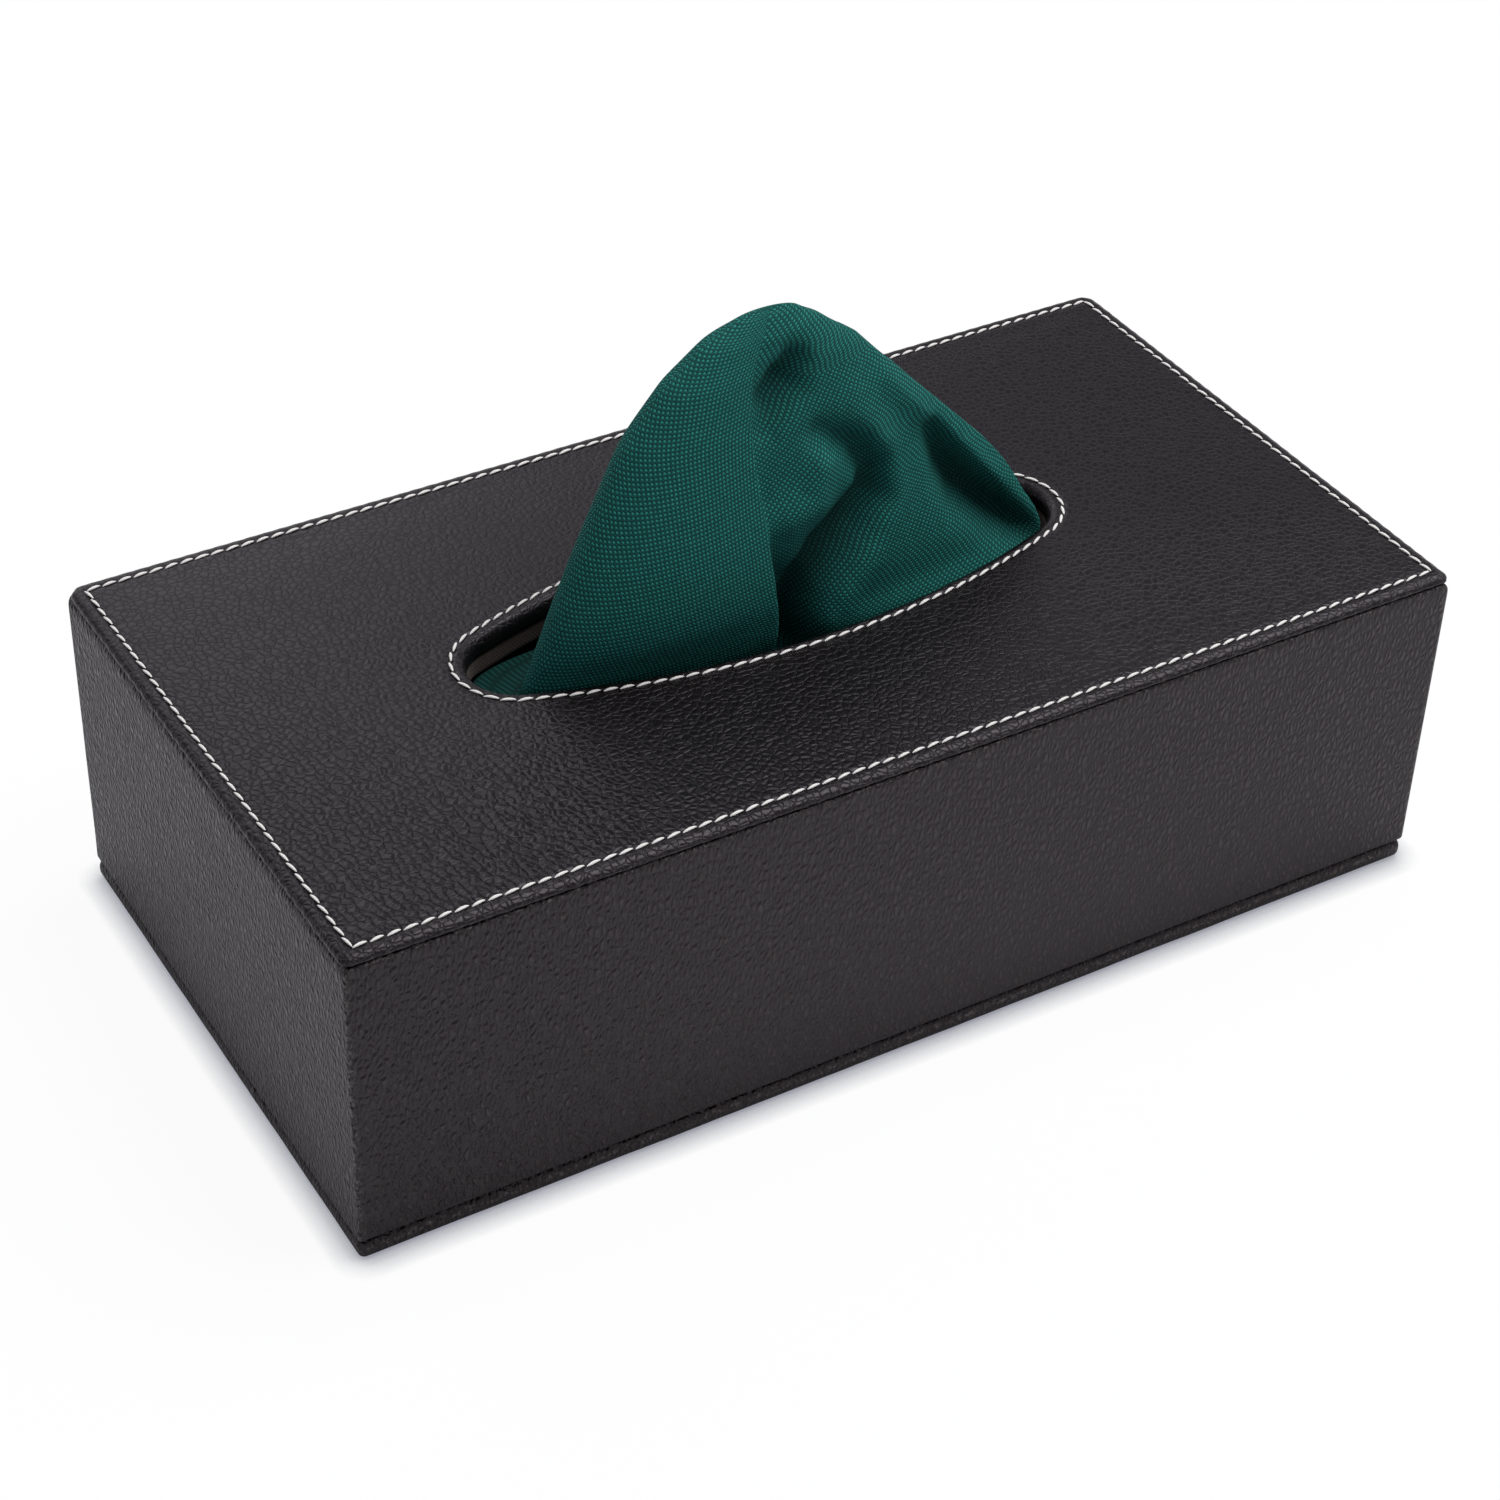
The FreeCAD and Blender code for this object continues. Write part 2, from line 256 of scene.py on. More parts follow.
wornEdgeAndHighlight = {"fleck": 0.7 * mm, "range": (0.5, 0.66), "colour": "#8a8480"}
hideClouds = 40 * mm  # size of the patches where a hide is a little lighter


def pebbledLeather(name, look):
    # bonded leather with a plated grain: rounded pebbles between fine creases, and a satin coat that greys
    # at a slant
    material, tree, shader = newMaterial(name)
    coords = addNode(tree, "ShaderNodeTexCoord", {}, {})
    shaped = addNode(tree, "ShaderNodeMapping", {}, {
        "Vector": coords.outputs["Object"], "Scale": look["stretch"]})
    drift = addNode(tree, "ShaderNodeTexNoise", {}, {
        "Vector": shaped.outputs[0], "Scale": 0.4 / look["pebble"], "Detail": 2.0})
    moved = addNode(tree, "ShaderNodeVectorMath", {"operation": "MULTIPLY_ADD"}, {
        0: drift.outputs["Color"], 1: [look["pebble"] * look["drift"]] * 3, 2: shaped.outputs[0]})
    pebbles = addNode(tree, "ShaderNodeTexVoronoi", {"feature": "DISTANCE_TO_EDGE"}, {
        "Vector": moved.outputs[0], "Scale": 1 / look["pebble"]})
    notches = addNode(tree, "ShaderNodeMapRange", {"interpolation_type": "SMOOTHSTEP"}, {
        "Value": pebbles.outputs["Distance"], "From Max": look["creaseWidth"]})
    domes = addNode(tree, "ShaderNodeMapRange", {"interpolation_type": "SMOOTHSTEP"}, {
        "Value": pebbles.outputs["Distance"], "From Max": 0.5})
    grain = addNode(tree, "ShaderNodeMix", {}, {
        "Factor": look["domeShare"], 2: notches.outputs[0], 3: domes.outputs[0]})
    pores = addNode(tree, "ShaderNodeTexNoise", {}, {
        "Vector": shaped.outputs[0], "Scale": 1 / look["pore"], "Detail": 2.0})
    height = addNode(tree, "ShaderNodeMix", {}, {
        "Factor": look["poreShare"], 2: grain.outputs[0], 3: pores.outputs["Fac"]})
    edges = addNode(tree, "ShaderNodeAttribute", {"attribute_name": "wearAndHighlight"}, {})
    stretched = addNode(tree, "ShaderNodeMapRange", {}, {
        "Value": edges.outputs["Fac"], "To Min": 1.0, "To Max": look["edgeGrain"]})
    # a hide's grain is deeper at its soft end
    along = addNode(tree, "ShaderNodeVectorMath", {"operation": "DOT_PRODUCT"}, {
        0: coords.outputs["Object"], 1: look["softEnd"]})
    shallow, deep = look["grainRange"]
    depth = addNode(tree, "ShaderNodeMapRange", {}, {
        "Value": along.outputs["Value"], "From Min": -0.2, "To Min": shallow, "To Max": deep})
    strength = addNode(tree, "ShaderNodeMath", {"operation": "MULTIPLY"}, {
        0: stretched.outputs[0], 1: depth.outputs[0]})
    bump = addNode(tree, "ShaderNodeBump", {}, {
        "Height": height.outputs[0], "Distance": look["relief"], "Strength": strength.outputs[0]})
    patches = addNode(tree, "ShaderNodeTexNoise", {}, {
        "Vector": coords.outputs["Object"], "Scale": 1 / hideClouds, "Detail": 3.0})
    faces = addNode(tree, "ShaderNodeMix", {"data_type": "RGBA"}, {
        "Factor": patches.outputs["Fac"], 6: hexToLinear(look["dark"]), 7: hexToLinear(look["light"])})
    colour = addNode(tree, "ShaderNodeMix", {"data_type": "RGBA"}, {
        "Factor": notches.outputs[0], 6: hexToLinear(look["crease"]), 7: faces.outputs[2]})
    gloss = addNode(tree, "ShaderNodeMapRange", {}, {
        "Value": grain.outputs[0], "To Min": look["roughCrease"], "To Max": look["roughFace"]})
    # edges that hands and tables rub show pale flecks, which also stand in as painted highlight along the
    # edges
    specks = addNode(tree, "ShaderNodeTexNoise", {}, {
        "Vector": coords.outputs["Object"], "Scale": 1 / wornEdgeAndHighlight["fleck"], "Detail": 4.0})
    whole, bare = wornEdgeAndHighlight["range"]
    fleckShare = addNode(tree, "ShaderNodeMapRange", {}, {
        "Value": specks.outputs["Fac"], "From Min": whole, "From Max": bare, "To Max": look["wearAndHighlight"]})
    fleckAmount = addNode(tree, "ShaderNodeMath", {"operation": "MULTIPLY"}, {
        0: fleckShare.outputs[0], 1: edges.outputs["Fac"]})
    colour = addNode(tree, "ShaderNodeMix", {"data_type": "RGBA"}, {
        "Factor": fleckAmount.outputs[0], 6: colour.outputs[2], 7: hexToLinear(wornEdgeAndHighlight["colour"])})
    setInputs(tree, shader, {
        "Base Color": colour.outputs[2], "Roughness": gloss.outputs[0], "Normal": bump.outputs[0],
        "IOR": look["ior"], "Specular Tint": hexToLinear(look["gloss"])})
    return material


def dressShader(tree, shader, pattern, look):
    # one pattern both tints a plain material and raises it
    colour = addNode(tree, "ShaderNodeMix", {"data_type": "RGBA"}, {
        "Factor": pattern, 6: hexToLinear(look["dark"]), 7: hexToLinear(look["light"])})
    bump = addNode(tree, "ShaderNodeBump", {}, {
        "Height": pattern, "Distance": look["relief"], "Strength": look["strength"]})
    setInputs(tree, shader, {
        "Base Color": colour.outputs[2], "Normal": bump.outputs[0], "Roughness": look["rough"]})


def spunThread(name, look):
    # polyester sewing thread, bonded: bright off-white with a slight lustre and the turns of its ply
    material, tree, shader = newMaterial(name)
    coords = addNode(tree, "ShaderNodeTexCoord", {}, {})
    ply = addNode(tree, "ShaderNodeTexWave", {"bands_direction": "DIAGONAL"}, {
        "Vector": coords.outputs["Object"], "Scale": 1 / (2 * math.pi * look["ply"]), "Distortion": 1.5})
    dressShader(tree, shader, ply.outputs["Fac"], look)
    return material


def plainWeave(name, look):
    # plain-woven cotton: threads go over and under each other, matt, darker in the gaps between them, with
    # painted shade in its folds and down in the slot
    material, tree, shader = newMaterial(name)
    flat = addNode(tree, "ShaderNodeUVMap", {"uv_map": "flat"}, {})
    sides = addNode(tree, "ShaderNodeSeparateXYZ", {}, {"Vector": flat.outputs[0]})
    waves = []
    for axis in (0, 1):
        turns = addNode(tree, "ShaderNodeMath", {"operation": "MULTIPLY"}, {
            0: sides.outputs[axis], 1: math.pi / look["spacing"]})
        wave = addNode(tree, "ShaderNodeMath", {"operation": "SINE"}, {0: turns.outputs[0]})
        waves.append(wave.outputs[0])
    # over and under: the product of the waves is high where one thread is on top, low where the other is
    crossing = addNode(tree, "ShaderNodeMath", {"operation": "MULTIPLY"}, {0: waves[0], 1: waves[1]})
    lift = addNode(tree, "ShaderNodeMath", {"operation": "ABSOLUTE"}, {0: crossing.outputs[0]})
    onTop = addNode(tree, "ShaderNodeMapRange", {}, {
        "Value": crossing.outputs[0], "From Min": -0.25, "From Max": 0.25})
    slub = addNode(tree, "ShaderNodeTexNoise", {"noise_dimensions": "2D"}, {
        "Vector": flat.outputs[0], "Scale": 1 / look["slub"], "Detail": 3.0})
    uneven = addNode(tree, "ShaderNodeMapRange", {}, {
        "Value": slub.outputs["Fac"], "From Min": 0.3, "From Max": 0.7, "To Min": 0.6, "To Max": 1.2})
    height = addNode(tree, "ShaderNodeMath", {"operation": "MULTIPLY"}, {
        0: lift.outputs[0], 1: uneven.outputs[0]})
    bump = addNode(tree, "ShaderNodeBump", {}, {
        "Height": height.outputs[0], "Distance": look["relief"], "Strength": look["strength"]})
    threads = addNode(tree, "ShaderNodeMix", {"data_type": "RGBA"}, {
        "Factor": onTop.outputs[0], 6: hexToLinear(look["warp"]), 7: hexToLinear(look["weft"])})
    shown = addNode(tree, "ShaderNodeMath", {"operation": "SQRT"}, {0: height.outputs[0]})
    colour = addNode(tree, "ShaderNodeMix", {"data_type": "RGBA"}, {
        "Factor": shown.outputs[0], 6: hexToLinear(look["gap"]), 7: threads.outputs[2]})
    # painted shade: where the cloth is folded or sunk down in the slot, its colour is darkened towards the
    # deep tone, standing in for the shade that falls there
    paintedFoldShade = addNode(tree, "ShaderNodeAttribute", {"attribute_name": "paintedFoldShade"}, {})
    depth = addNode(tree, "ShaderNodeMath", {"operation": "MULTIPLY"}, {
        0: paintedFoldShade.outputs["Fac"], 1: look["paintedShadeShare"]})
    colour = addNode(tree, "ShaderNodeMix", {"data_type": "RGBA"}, {
        "Factor": depth.outputs[0], 6: colour.outputs[2], 7: hexToLinear(look["deep"])})
    setInputs(tree, shader, {
        "Base Color": colour.outputs[2], "Normal": bump.outputs[0],
        "Roughness": look["rough"], "IOR": look["ior"], "Specular IOR Level": look["specular"]})
    return material


def brushedLining(name, look):
    # brushed cotton lining: short nap over a fine twill, quite matt
    material, tree, shader = newMaterial(name)
    coords = addNode(tree, "ShaderNodeTexCoord", {}, {})
    twill = addNode(tree, "ShaderNodeTexWave", {"bands_direction": "DIAGONAL"}, {
        "Vector": coords.outputs["Object"], "Scale": 1 / (2 * math.pi * look["rib"]), "Distortion": 2.0})
    nap = addNode(tree, "ShaderNodeTexNoise", {}, {
        "Vector": coords.outputs["Object"], "Scale": 1 / look["nap"], "Detail": 4.0})
    height = addNode(tree, "ShaderNodeMix", {}, {
        "Factor": look["napShare"], 2: twill.outputs["Fac"], 3: nap.outputs["Fac"]})
    dressShader(tree, shader, height.outputs[0], look)
    setInputs(tree, shader, {"Sheen Weight": look["sheen"]})
    return material


def pressedBoard(name, look):
    # grey-brown fibreboard: flecked with fibres, dull
    material, tree, shader = newMaterial(name)
    coords = addNode(tree, "ShaderNodeTexCoord", {}, {})
    fibres = addNode(tree, "ShaderNodeTexNoise", {}, {
        "Vector": coords.outputs["Object"], "Scale": 1 / look["fibre"], "Detail": 5.0, "Distortion": 1.0})
    dressShader(tree, shader, fibres.outputs["Fac"], look)
    return material


def cutFoam(name, look):
    # open-celled polyurethane foam: pale grey, full of pinholes
    material, tree, shader = newMaterial(name)
    coords = addNode(tree, "ShaderNodeTexCoord", {}, {})
    cells = addNode(tree, "ShaderNodeTexVoronoi", {}, {
        "Vector": coords.outputs["Object"], "Scale": 1 / look["cell"]})
    dressShader(tree, shader, cells.outputs["Distance"], look)
    return material


def brushedSteel(name, look):
    # cold-rolled steel strip: fine lines along its length
    material, tree, shader = newMaterial(name)
    coords = addNode(tree, "ShaderNodeTexCoord", {}, {})
    drawn = addNode(tree, "ShaderNodeMapping", {}, {
        "Vector": coords.outputs["Object"], "Scale": look["stretch"]})
    lines = addNode(tree, "ShaderNodeTexNoise", {}, {
        "Vector": drawn.outputs[0], "Scale": 1 / look["line"], "Detail": 3.0})
    smooth, rough = look["roughRange"]
    gloss = addNode(tree, "ShaderNodeMapRange", {}, {
        "Value": lines.outputs["Fac"], "To Min": smooth, "To Max": rough})
    colour = addNode(tree, "ShaderNodeMix", {"data_type": "RGBA"}, {
        "Factor": lines.outputs["Fac"], 6: hexToLinear(look["dark"]), 7: hexToLinear(look["light"])})
    setInputs(tree, shader, {
        "Base Color": colour.outputs[2], "Roughness": gloss.outputs[0], "Metallic": 1.0})
    return material


topHide = pebbledLeather("pebbledTopLeather", {
    "pebble": 1.6 * mm, "drift": 0.9, "creaseWidth": 0.11, "domeShare": 0.5,
    "pore": 0.4 * mm, "poreShare": 0.1, "relief": 0.27 * mm, "stretch": [1.0, 1.0, 1.0],
    "softEnd": [-5.0, -14.0, 0.0], "grainRange": (0.3, 1.0),
    "dark": "#0d090a", "light": "#120d0e", "crease": "#040303",
    "roughFace": 0.3, "roughCrease": 0.5, "ior": 1.395, "gloss": "#faf1fc",
    "wearAndHighlight": 0.12, "edgeGrain": 0.6})
sideHide = pebbledLeather("fineSideLeather", {
    "pebble": 1.2 * mm, "drift": 1.1, "creaseWidth": 0.4, "domeShare": 0.6,
    "pore": 0.7 * mm, "poreShare": 0.45, "relief": 1.15 * mm, "stretch": [1.0, 1.0, 0.5],
    "softEnd": [-8.0, 0.0, 0.0], "grainRange": (0.4, 1.0),
    "dark": "#181010", "light": "#1f1514", "crease": "#110b0a",
    "roughFace": 0.36, "roughCrease": 0.5, "ior": 1.425, "gloss": "#fbf2fb",
    "wearAndHighlight": 0.8, "edgeGrain": 0.8})
thread = spunThread("spunPolyesterThread", {
    "ply": 0.11 * mm, "relief": 0.05 * mm, "strength": 0.6,
    "dark": "#dedad4", "light": "#fffdf9", "rough": 0.55})
cotton = plainWeave("plainWovenCotton", {
    "spacing": 0.62 * mm, "relief": 0.15 * mm, "strength": 0.7,  # drawn a little coarse so that it shows
    "slub": 1.7 * mm, "gap": "#08312e", "warp": "#154e49", "weft": "#2f8a80",
    # deep and its share are the painted shade colour for the folds and for the cloth down in the slot
    "deep": "#06201e", "paintedShadeShare": 0.75, "rough": 0.85, "ior": 1.4, "specular": 0.2})
brushed = {"napShare": 0.6, "relief": 0.12 * mm, "strength": 0.6, "rough": 0.92, "sheen": 0.15}
lining = brushedLining("brushedCottonLining", {
    **brushed, "rib": 0.35 * mm, "nap": 0.5 * mm, "dark": "#221a16", "light": "#3a2e28"})
tape = brushedLining("cottonBindingTape", {
    **brushed, "rib": 0.25 * mm, "nap": 0.6 * mm, "dark": "#33241d", "light": "#513c31"})
board = pressedBoard("pressedFibreboard", {
    "fibre": 0.8 * mm, "relief": 0.1 * mm, "strength": 0.4,
    "dark": "#7d6248", "light": "#b3946f", "rough": 0.85})
foam = cutFoam("cutPolyurethaneFoam", {
    "cell": 0.7 * mm, "relief": 0.2 * mm, "strength": 0.7,
    "dark": "#4c4c4e", "light": "#77777a", "rough": 0.95})
steel = brushedSteel("coldRolledSteel", {
    "line": 0.15 * mm, "stretch": [0.04, 1, 1], "roughRange": (0.28, 0.45),
    "dark": "#a6a6a8", "light": "#c9c9cb"})
print("materials made")


# Leather over the padded top

topSkin = {
    "rearCorner": 3.5 * mm,
    "frontCorner": 2.0 * mm,
    "edgeReach": 2.7 * mm,   # the rolled edge, across
    "edgeDrop": 1.5 * mm,    # and down
    "seam": topHigh.z - 1.7 * mm,
    "rollSteps": 8,
    "slotRows": (0.3, 0.0, -0.3, -0.7, -1.2, -2.0, -3.2),  # mm inward from the slot's stitches
    "middleRows": 14,
    "edgeRows": (6.4, 5.2, 4.4, 3.8, 3.5, 3.2, 2.95),  # mm in from the outer edge
    "crown": 0.45 * mm,   # how far the padding swells between the two rows of stitches
    "grooveDepth": 0.22 * mm,
    "grooveWidth": 0.9 * mm,
    "holeDepth": 0.22 * mm,
    "holeWidth": 0.5 * mm,
    "pucker": 0.07 * mm,  # how far the rolled edge is drawn in at each stitch
    "edgeUneven": (0.04 * mm, 3 * mm),  # depth and size of its own unevenness
    "soft": ((0.12 * mm, 22 * mm, 2.0), (0.04 * mm, 6 * mm, 3.0)),  # the padding's: depth, size, seed
    "seamRows": ((0.05, 0.12), (0.25, 0), (0.6, 0), (1.2, 0)),  # mm in and mm above the seam
}


def topRows():
    # each row: how far it is from the slot to the edge, its offsets at the slot and at the edge, its height
    high = topHigh.z
    width = slot["rollWidth"]
    roll = slot["rollRadius"]
    turns = quarterTurn(topSkin["rollSteps"])
    rows = [(0, width, 0, topLow.z), (0, width, 0, (topLow.z + high - roll) / 2)]
    rows += [(0, width - roll + roll * across, 0, high - roll + roll * up) for across, up in turns]
    rows += [(0, inward * mm, 0, high) for inward in topSkin["slotRows"]]
    for i in range(1, topSkin["middleRows"]):
        share = i / topSkin["middleRows"]
        crown = topSkin["crown"] * math.sin(math.pi * share) ** 0.7
        rows.append((share, topSkin["slotRows"][-1] * mm, topSkin["edgeRows"][0] * mm, high + crown))
    rows += [(1, 0, inset * mm, high) for inset in topSkin["edgeRows"]]
    for across, up in reversed(turns):
        rows.append((1, 0, topSkin["edgeReach"] * (1 - across), high - topSkin["edgeDrop"] * (1 - up)))
    rows += [(1, 0, inset * mm, topSkin["seam"] + rise * mm) for inset, rise in topSkin["seamRows"]]
    return rows


def stitchPull(off, phase):
    # how far the thread draws the leather down, off the row and along it
    groove = topSkin["grooveDepth"] * math.exp(-(off / topSkin["grooveWidth"]) ** 2)
    hole = topSkin["holeDepth"] * math.exp(-(off / topSkin["holeWidth"]) ** 2)
    return groove + hole * (0.5 + 0.5 * math.cos(2 * math.pi * phase))


topProfile = topRows()


def topPlace(column, row):
    share, inward, inset, height = topProfile[row]
    around = column / ringColumns
    atSlot = slotPoint(around, inward)
    corner = topSkin["rearCorner"] if around < 0.5 else topSkin["frontCorner"]
    cornerRadius = max(corner - inset, tightCorner)
    halves = (wrapHigh.x - inset, wrapHigh.y - inset)
    atEdge = edgePoint(column, *halves, cornerRadius)
    point = atSlot.lerp(atEdge, share).to_3d()
    slotPhase = (around + slotEndArc / (4 * slotQuarter)) * slotStitches
    edgePhase = (column + shortColumns / 2) / stitchRow["columns"]
    point.z = height
    if share == 0:
        point.z -= stitchPull(inward, slotPhase)
    if share == 1:
        off = inset - stitchRow["inset"]
        point.z -= stitchPull(off, edgePhase)
        if off < 0:  # the rolled edge, drawn in by the stitches
            rolled = min(1, -off / stitchRow["inset"])
            depth, size = topSkin["edgeUneven"]
            draw = topSkin["pucker"] * (1 + math.cos(2 * math.pi * edgePhase)) * rolled
            draw += depth * (1 + unevenness(point, size, 1.0))
            for axis in (0, 1):
                if abs(atEdge[axis]) > halves[axis] - cornerRadius:
                    point[axis] -= math.copysign(draw, point[axis])
    if height >= topHigh.z:
        point.z += sum(depth * unevenness(point, size, seed) for depth, size, seed in topSkin["soft"])
    return point


def topWearAndHighlight(point):
    # worn, and given painted highlight, from the outer edge in to the stitches
    return 1 - min(wrapHigh.x - abs(point.x), wrapHigh.y - abs(point.y)) / stitchRow["inset"]


bm = rolledSkin(ringColumns, len(topProfile) - 1, topPlace)
faceOutwards(bm, Vector((0, 0, wrapHigh.z - 40 * mm)))
markWearAndHighlight(bm, topWearAndHighlight)
topLeather = makePiece("topLeather", bm, topHide)
addThickness(topLeather, topHideWall)
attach(topLeather, "cover")
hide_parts("top_leather")
print("top leather:", len(topLeather.data.polygons), "faces")


# Foam under it

foamPad = {
    "step": 4,            # columns of the leather for each of its own
    "slotEdge": slot["rollWidth"] - topHideWall,
    "slotRows": (1.0, 0.0, -1.0, -3.0),   # mm inward from the slot's stitches
    "edgeRows": (6.4, 3.2, 1.6),          # mm in from the leather's outer edge
    "middleRows": 8,
    "lower": 0.4 * mm,    # room below the leather's grooves
    "slotRound": 1.2 * mm,  # how far its upper edges are rounded down
    "edgeRound": 1.0 * mm,
}


def foamPlace(column, row):
    share, inward, inset, height = foamRows[row]
    column *= foamPad["step"]
    atSlot = slotPoint(column / ringColumns, inward)
    atEdge = edgePoint(column, wrapHigh.x - inset, wrapHigh.y - inset, topSkin["frontCorner"] - topHideWall)
    point = atSlot.lerp(atEdge, share).to_3d()
    point.z = height
    return point


foamTop = foamHigh.z - foamPad["lower"]
foamInner = foamPad["slotEdge"]
foamRows = [(0, foamInner, 0, foamLow.z), (0, foamInner, 0, foamTop - foamPad["slotRound"])]
foamRows += [(0, inward * mm, 0, foamTop) for inward in foamPad["slotRows"]]
for i in range(1, foamPad["middleRows"]):
    share = i / foamPad["middleRows"]
    crown = topSkin["crown"] * math.sin(math.pi * share)
    foamRows.append((share, foamPad["slotRows"][-1] * mm, foamPad["edgeRows"][0] * mm, foamTop + crown))
foamRows += [(1, 0, inset * mm, foamTop) for inset in foamPad["edgeRows"]]
foamRows += [(1, 0, topHideWall, foamTop - foamPad["edgeRound"]), (1, 0, topHideWall, foamLow.z)]
foamRows.append(foamRows[0])
bm = rolledSkin(ringColumns // foamPad["step"], len(foamRows) - 1, foamPlace)
bmesh.ops.recalc_face_normals(bm, faces=bm.faces)
topFoam = makePiece("topFoam", bm, foam)
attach(topFoam, "cover")
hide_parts("top_foam_pad")
print("foam:", len(topFoam.data.polygons), "faces")


# Rows of stitches

stitchRandom = random.Random(7)


def addStitch(bm, place, direction):
    # a spindle of thread that arches from hole to hole
    made = bmesh.ops.create_uvsphere(bm, u_segments=8, v_segments=6, radius=0.5)
    verts = made["verts"]
    length = stitchRow["length"] * stitchRandom.uniform(*stitchRow["lengths"])
    bmesh.ops.rotate(bm, verts=verts, cent=(0, 0, 0), matrix=Matrix.Rotation(math.pi / 2, 3, "Y"))
    for vert in verts:
        along = 2 * vert.co.x
        full = 1 + stitchRow["fuller"] * (1 - along ** 2)
        vert.co.x *= length
        vert.co.y *= stitchRow["width"] * full
        vert.co.z = vert.co.z * stitchRow["height"] * full - stitchRow["arch"] * along ** 2
    slantSpread, liftSpread = stitchRow["slantSpread"], stitchRow["liftSpread"]
    turn = direction + math.radians(stitchRow["slant"] + stitchRandom.uniform(-slantSpread, slantSpread))
    lift = stitchRandom.uniform(-liftSpread, liftSpread)
    bmesh.ops.rotate(bm, verts=verts, cent=(0, 0, 0), matrix=Matrix.Rotation(turn, 3, "Z"))
    bmesh.ops.translate(bm, verts=verts, vec=(place.x, place.y, topHigh.z + lift))


def sewEdge():
    bm = bmesh.new()
    half = Vector((wrapHigh.x - stitchRow["inset"], wrapHigh.y - stitchRow["inset"]))
    corners = [Vector((x * half.x, y * half.y)) for x, y in ((-1, -1), (1, -1), (1, 1), (-1, 1))]
    for start, end, count in zip(corners, corners[1:] + corners[:1], (longStitches, shortStitches) * 2):
        run = end - start
        for i in range(count):
            addStitch(bm, start + run * (i + 0.5) / count, math.atan2(run.y, run.x))
    return bm


def sewSlot():
    bm = bmesh.new()
    firstShare = -slotEndArc / (4 * slotQuarter)
    for i in range(slotStitches):
        share = firstShare + (i + 0.5) / slotStitches
        run = slotPoint(share + 0.001, 0) - slotPoint(share - 0.001, 0)
        addStitch(bm, slotPoint(share, 0), math.atan2(run.y, run.x))
    return bm


for name, bm, node in (
    ("edgeStitches", sewEdge(), "perimeter_stitching"), ("slotStitches", sewSlot(), "slot_stitching"),
):
    row = makePiece(name, bm, thread)
    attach(row, "cover")
    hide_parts(node)
    print(name, len(row.data.polygons), "faces")


# Leather round the four walls, turned under them

sideSkin = {
    "cornerRadius": 0.9 * mm,
    "innerCorner": 0.4 * mm,
    # how the wall's upper edge rolls in under the top: mm in on the ends, mm in on the long walls, and mm
    # from the seam
    "shoulder": ((2.4, 2.4, -0.4), (1.5, 0.75, -0.4), (1.25, 0.45, -0.46), (1, 0.25, -0.58),
                 (0.74, 0.1, -0.8), (0.48, 0.03, -1.15), (0.25, 0.01, -1.6), (0.1, 0, -2.1), (0.02, 0, -2.8)),
    # mm above the table
    "wallRows": (69.4, 68, 65, 60, 54, 48, 42, 36, 30, 24, 19, 15.5, 13.3, 13.0, 11, 8.5, 6.6),
    "bottomRadius": 0.7 * mm,
    "turnRows": ((2.5, 0), (4.6, 0), (5.5, 0.3), (5.5, 1.0)),  # mm in and up, where it turns under the wall
    "face": 1.3 * mm,     # rows less far in than this lie on the wall's face
    "wave": 0.1 * mm,     # how far the walls are out of flat
    "waveSize": 28 * mm,
    "flatEdge": 6 * mm,   # and how near its edges a wall is flat again
    "ripple": 0.12 * mm,  # small puckers along the upper edge
    "rippleSize": 2.2 * mm,
    "edgeWander": 0.12 * mm,  # how far that edge goes up and down
    "edgeWanderSize": 3.5 * mm,
    "wornAndHighlightCorner": 1.3 * mm,
    "wornAndHighlightBand": (0.6, 0.8 * mm, 0.5 * mm),  # wear and painted highlight along the upper edge: amount, below the seam, half width
}


def sideRows():
    # each row: how far in from the ends' faces and the long walls' faces, and its height
    low = wrapLow.z
    bottom = sideSkin["bottomRadius"]
    rows = [(end * mm, long * mm, topSkin["seam"] + rise * mm) for end, long, rise in sideSkin["shoulder"]]
    rows += [(0, 0, height * mm) for height in sideSkin["wallRows"]]
    for across, up in quarterTurn(4):
        rows.append((bottom - bottom * across, bottom - bottom * across, low + bottom - bottom * up))
    rows += [(inset * mm, inset * mm, low + rise * mm) for inset, rise in sideSkin["turnRows"]]
    return rows


sideProfile = sideRows()


def sidePlace(column, row):
    endInset, inset, height = sideProfile[row]
    halfLength = wrapHigh.x - endInset
    halfWidth = wrapHigh.y - inset
    cornerRadius = max(sideSkin["cornerRadius"] - inset, sideSkin["innerCorner"])
    point = edgePoint(column, halfLength, halfWidth, cornerRadius).to_3d()
    point.z = height
    if inset < sideSkin["face"]:
        fromEdge = min(max(wrapHigh.z - height, 0), height - wrapLow.z)
        loose = min(1, fromEdge / sideSkin["flatEdge"])
        out = sideSkin["wave"] * loose * (unevenness(point, sideSkin["waveSize"], 4.0) - 1)
        nearTop = math.exp(-((topSkin["seam"] - height) / sideSkin["rippleSize"]) ** 2)
        out += sideSkin["ripple"] * nearTop * (unevenness(point, sideSkin["rippleSize"], 5.0) - 1)
        point.z += sideSkin["edgeWander"] * nearTop * unevenness(point, sideSkin["edgeWanderSize"], 6.0)
        pushFace(point, halfLength, halfWidth, out)
    # the rebate that the hinge strip lies in
    if point.y > 0 and abs(point.x) < stripHigh.x - 0.1 * mm and height < stripHigh.z:
        point.y = min(point.y, stripLow.y - stripGap)
    return point


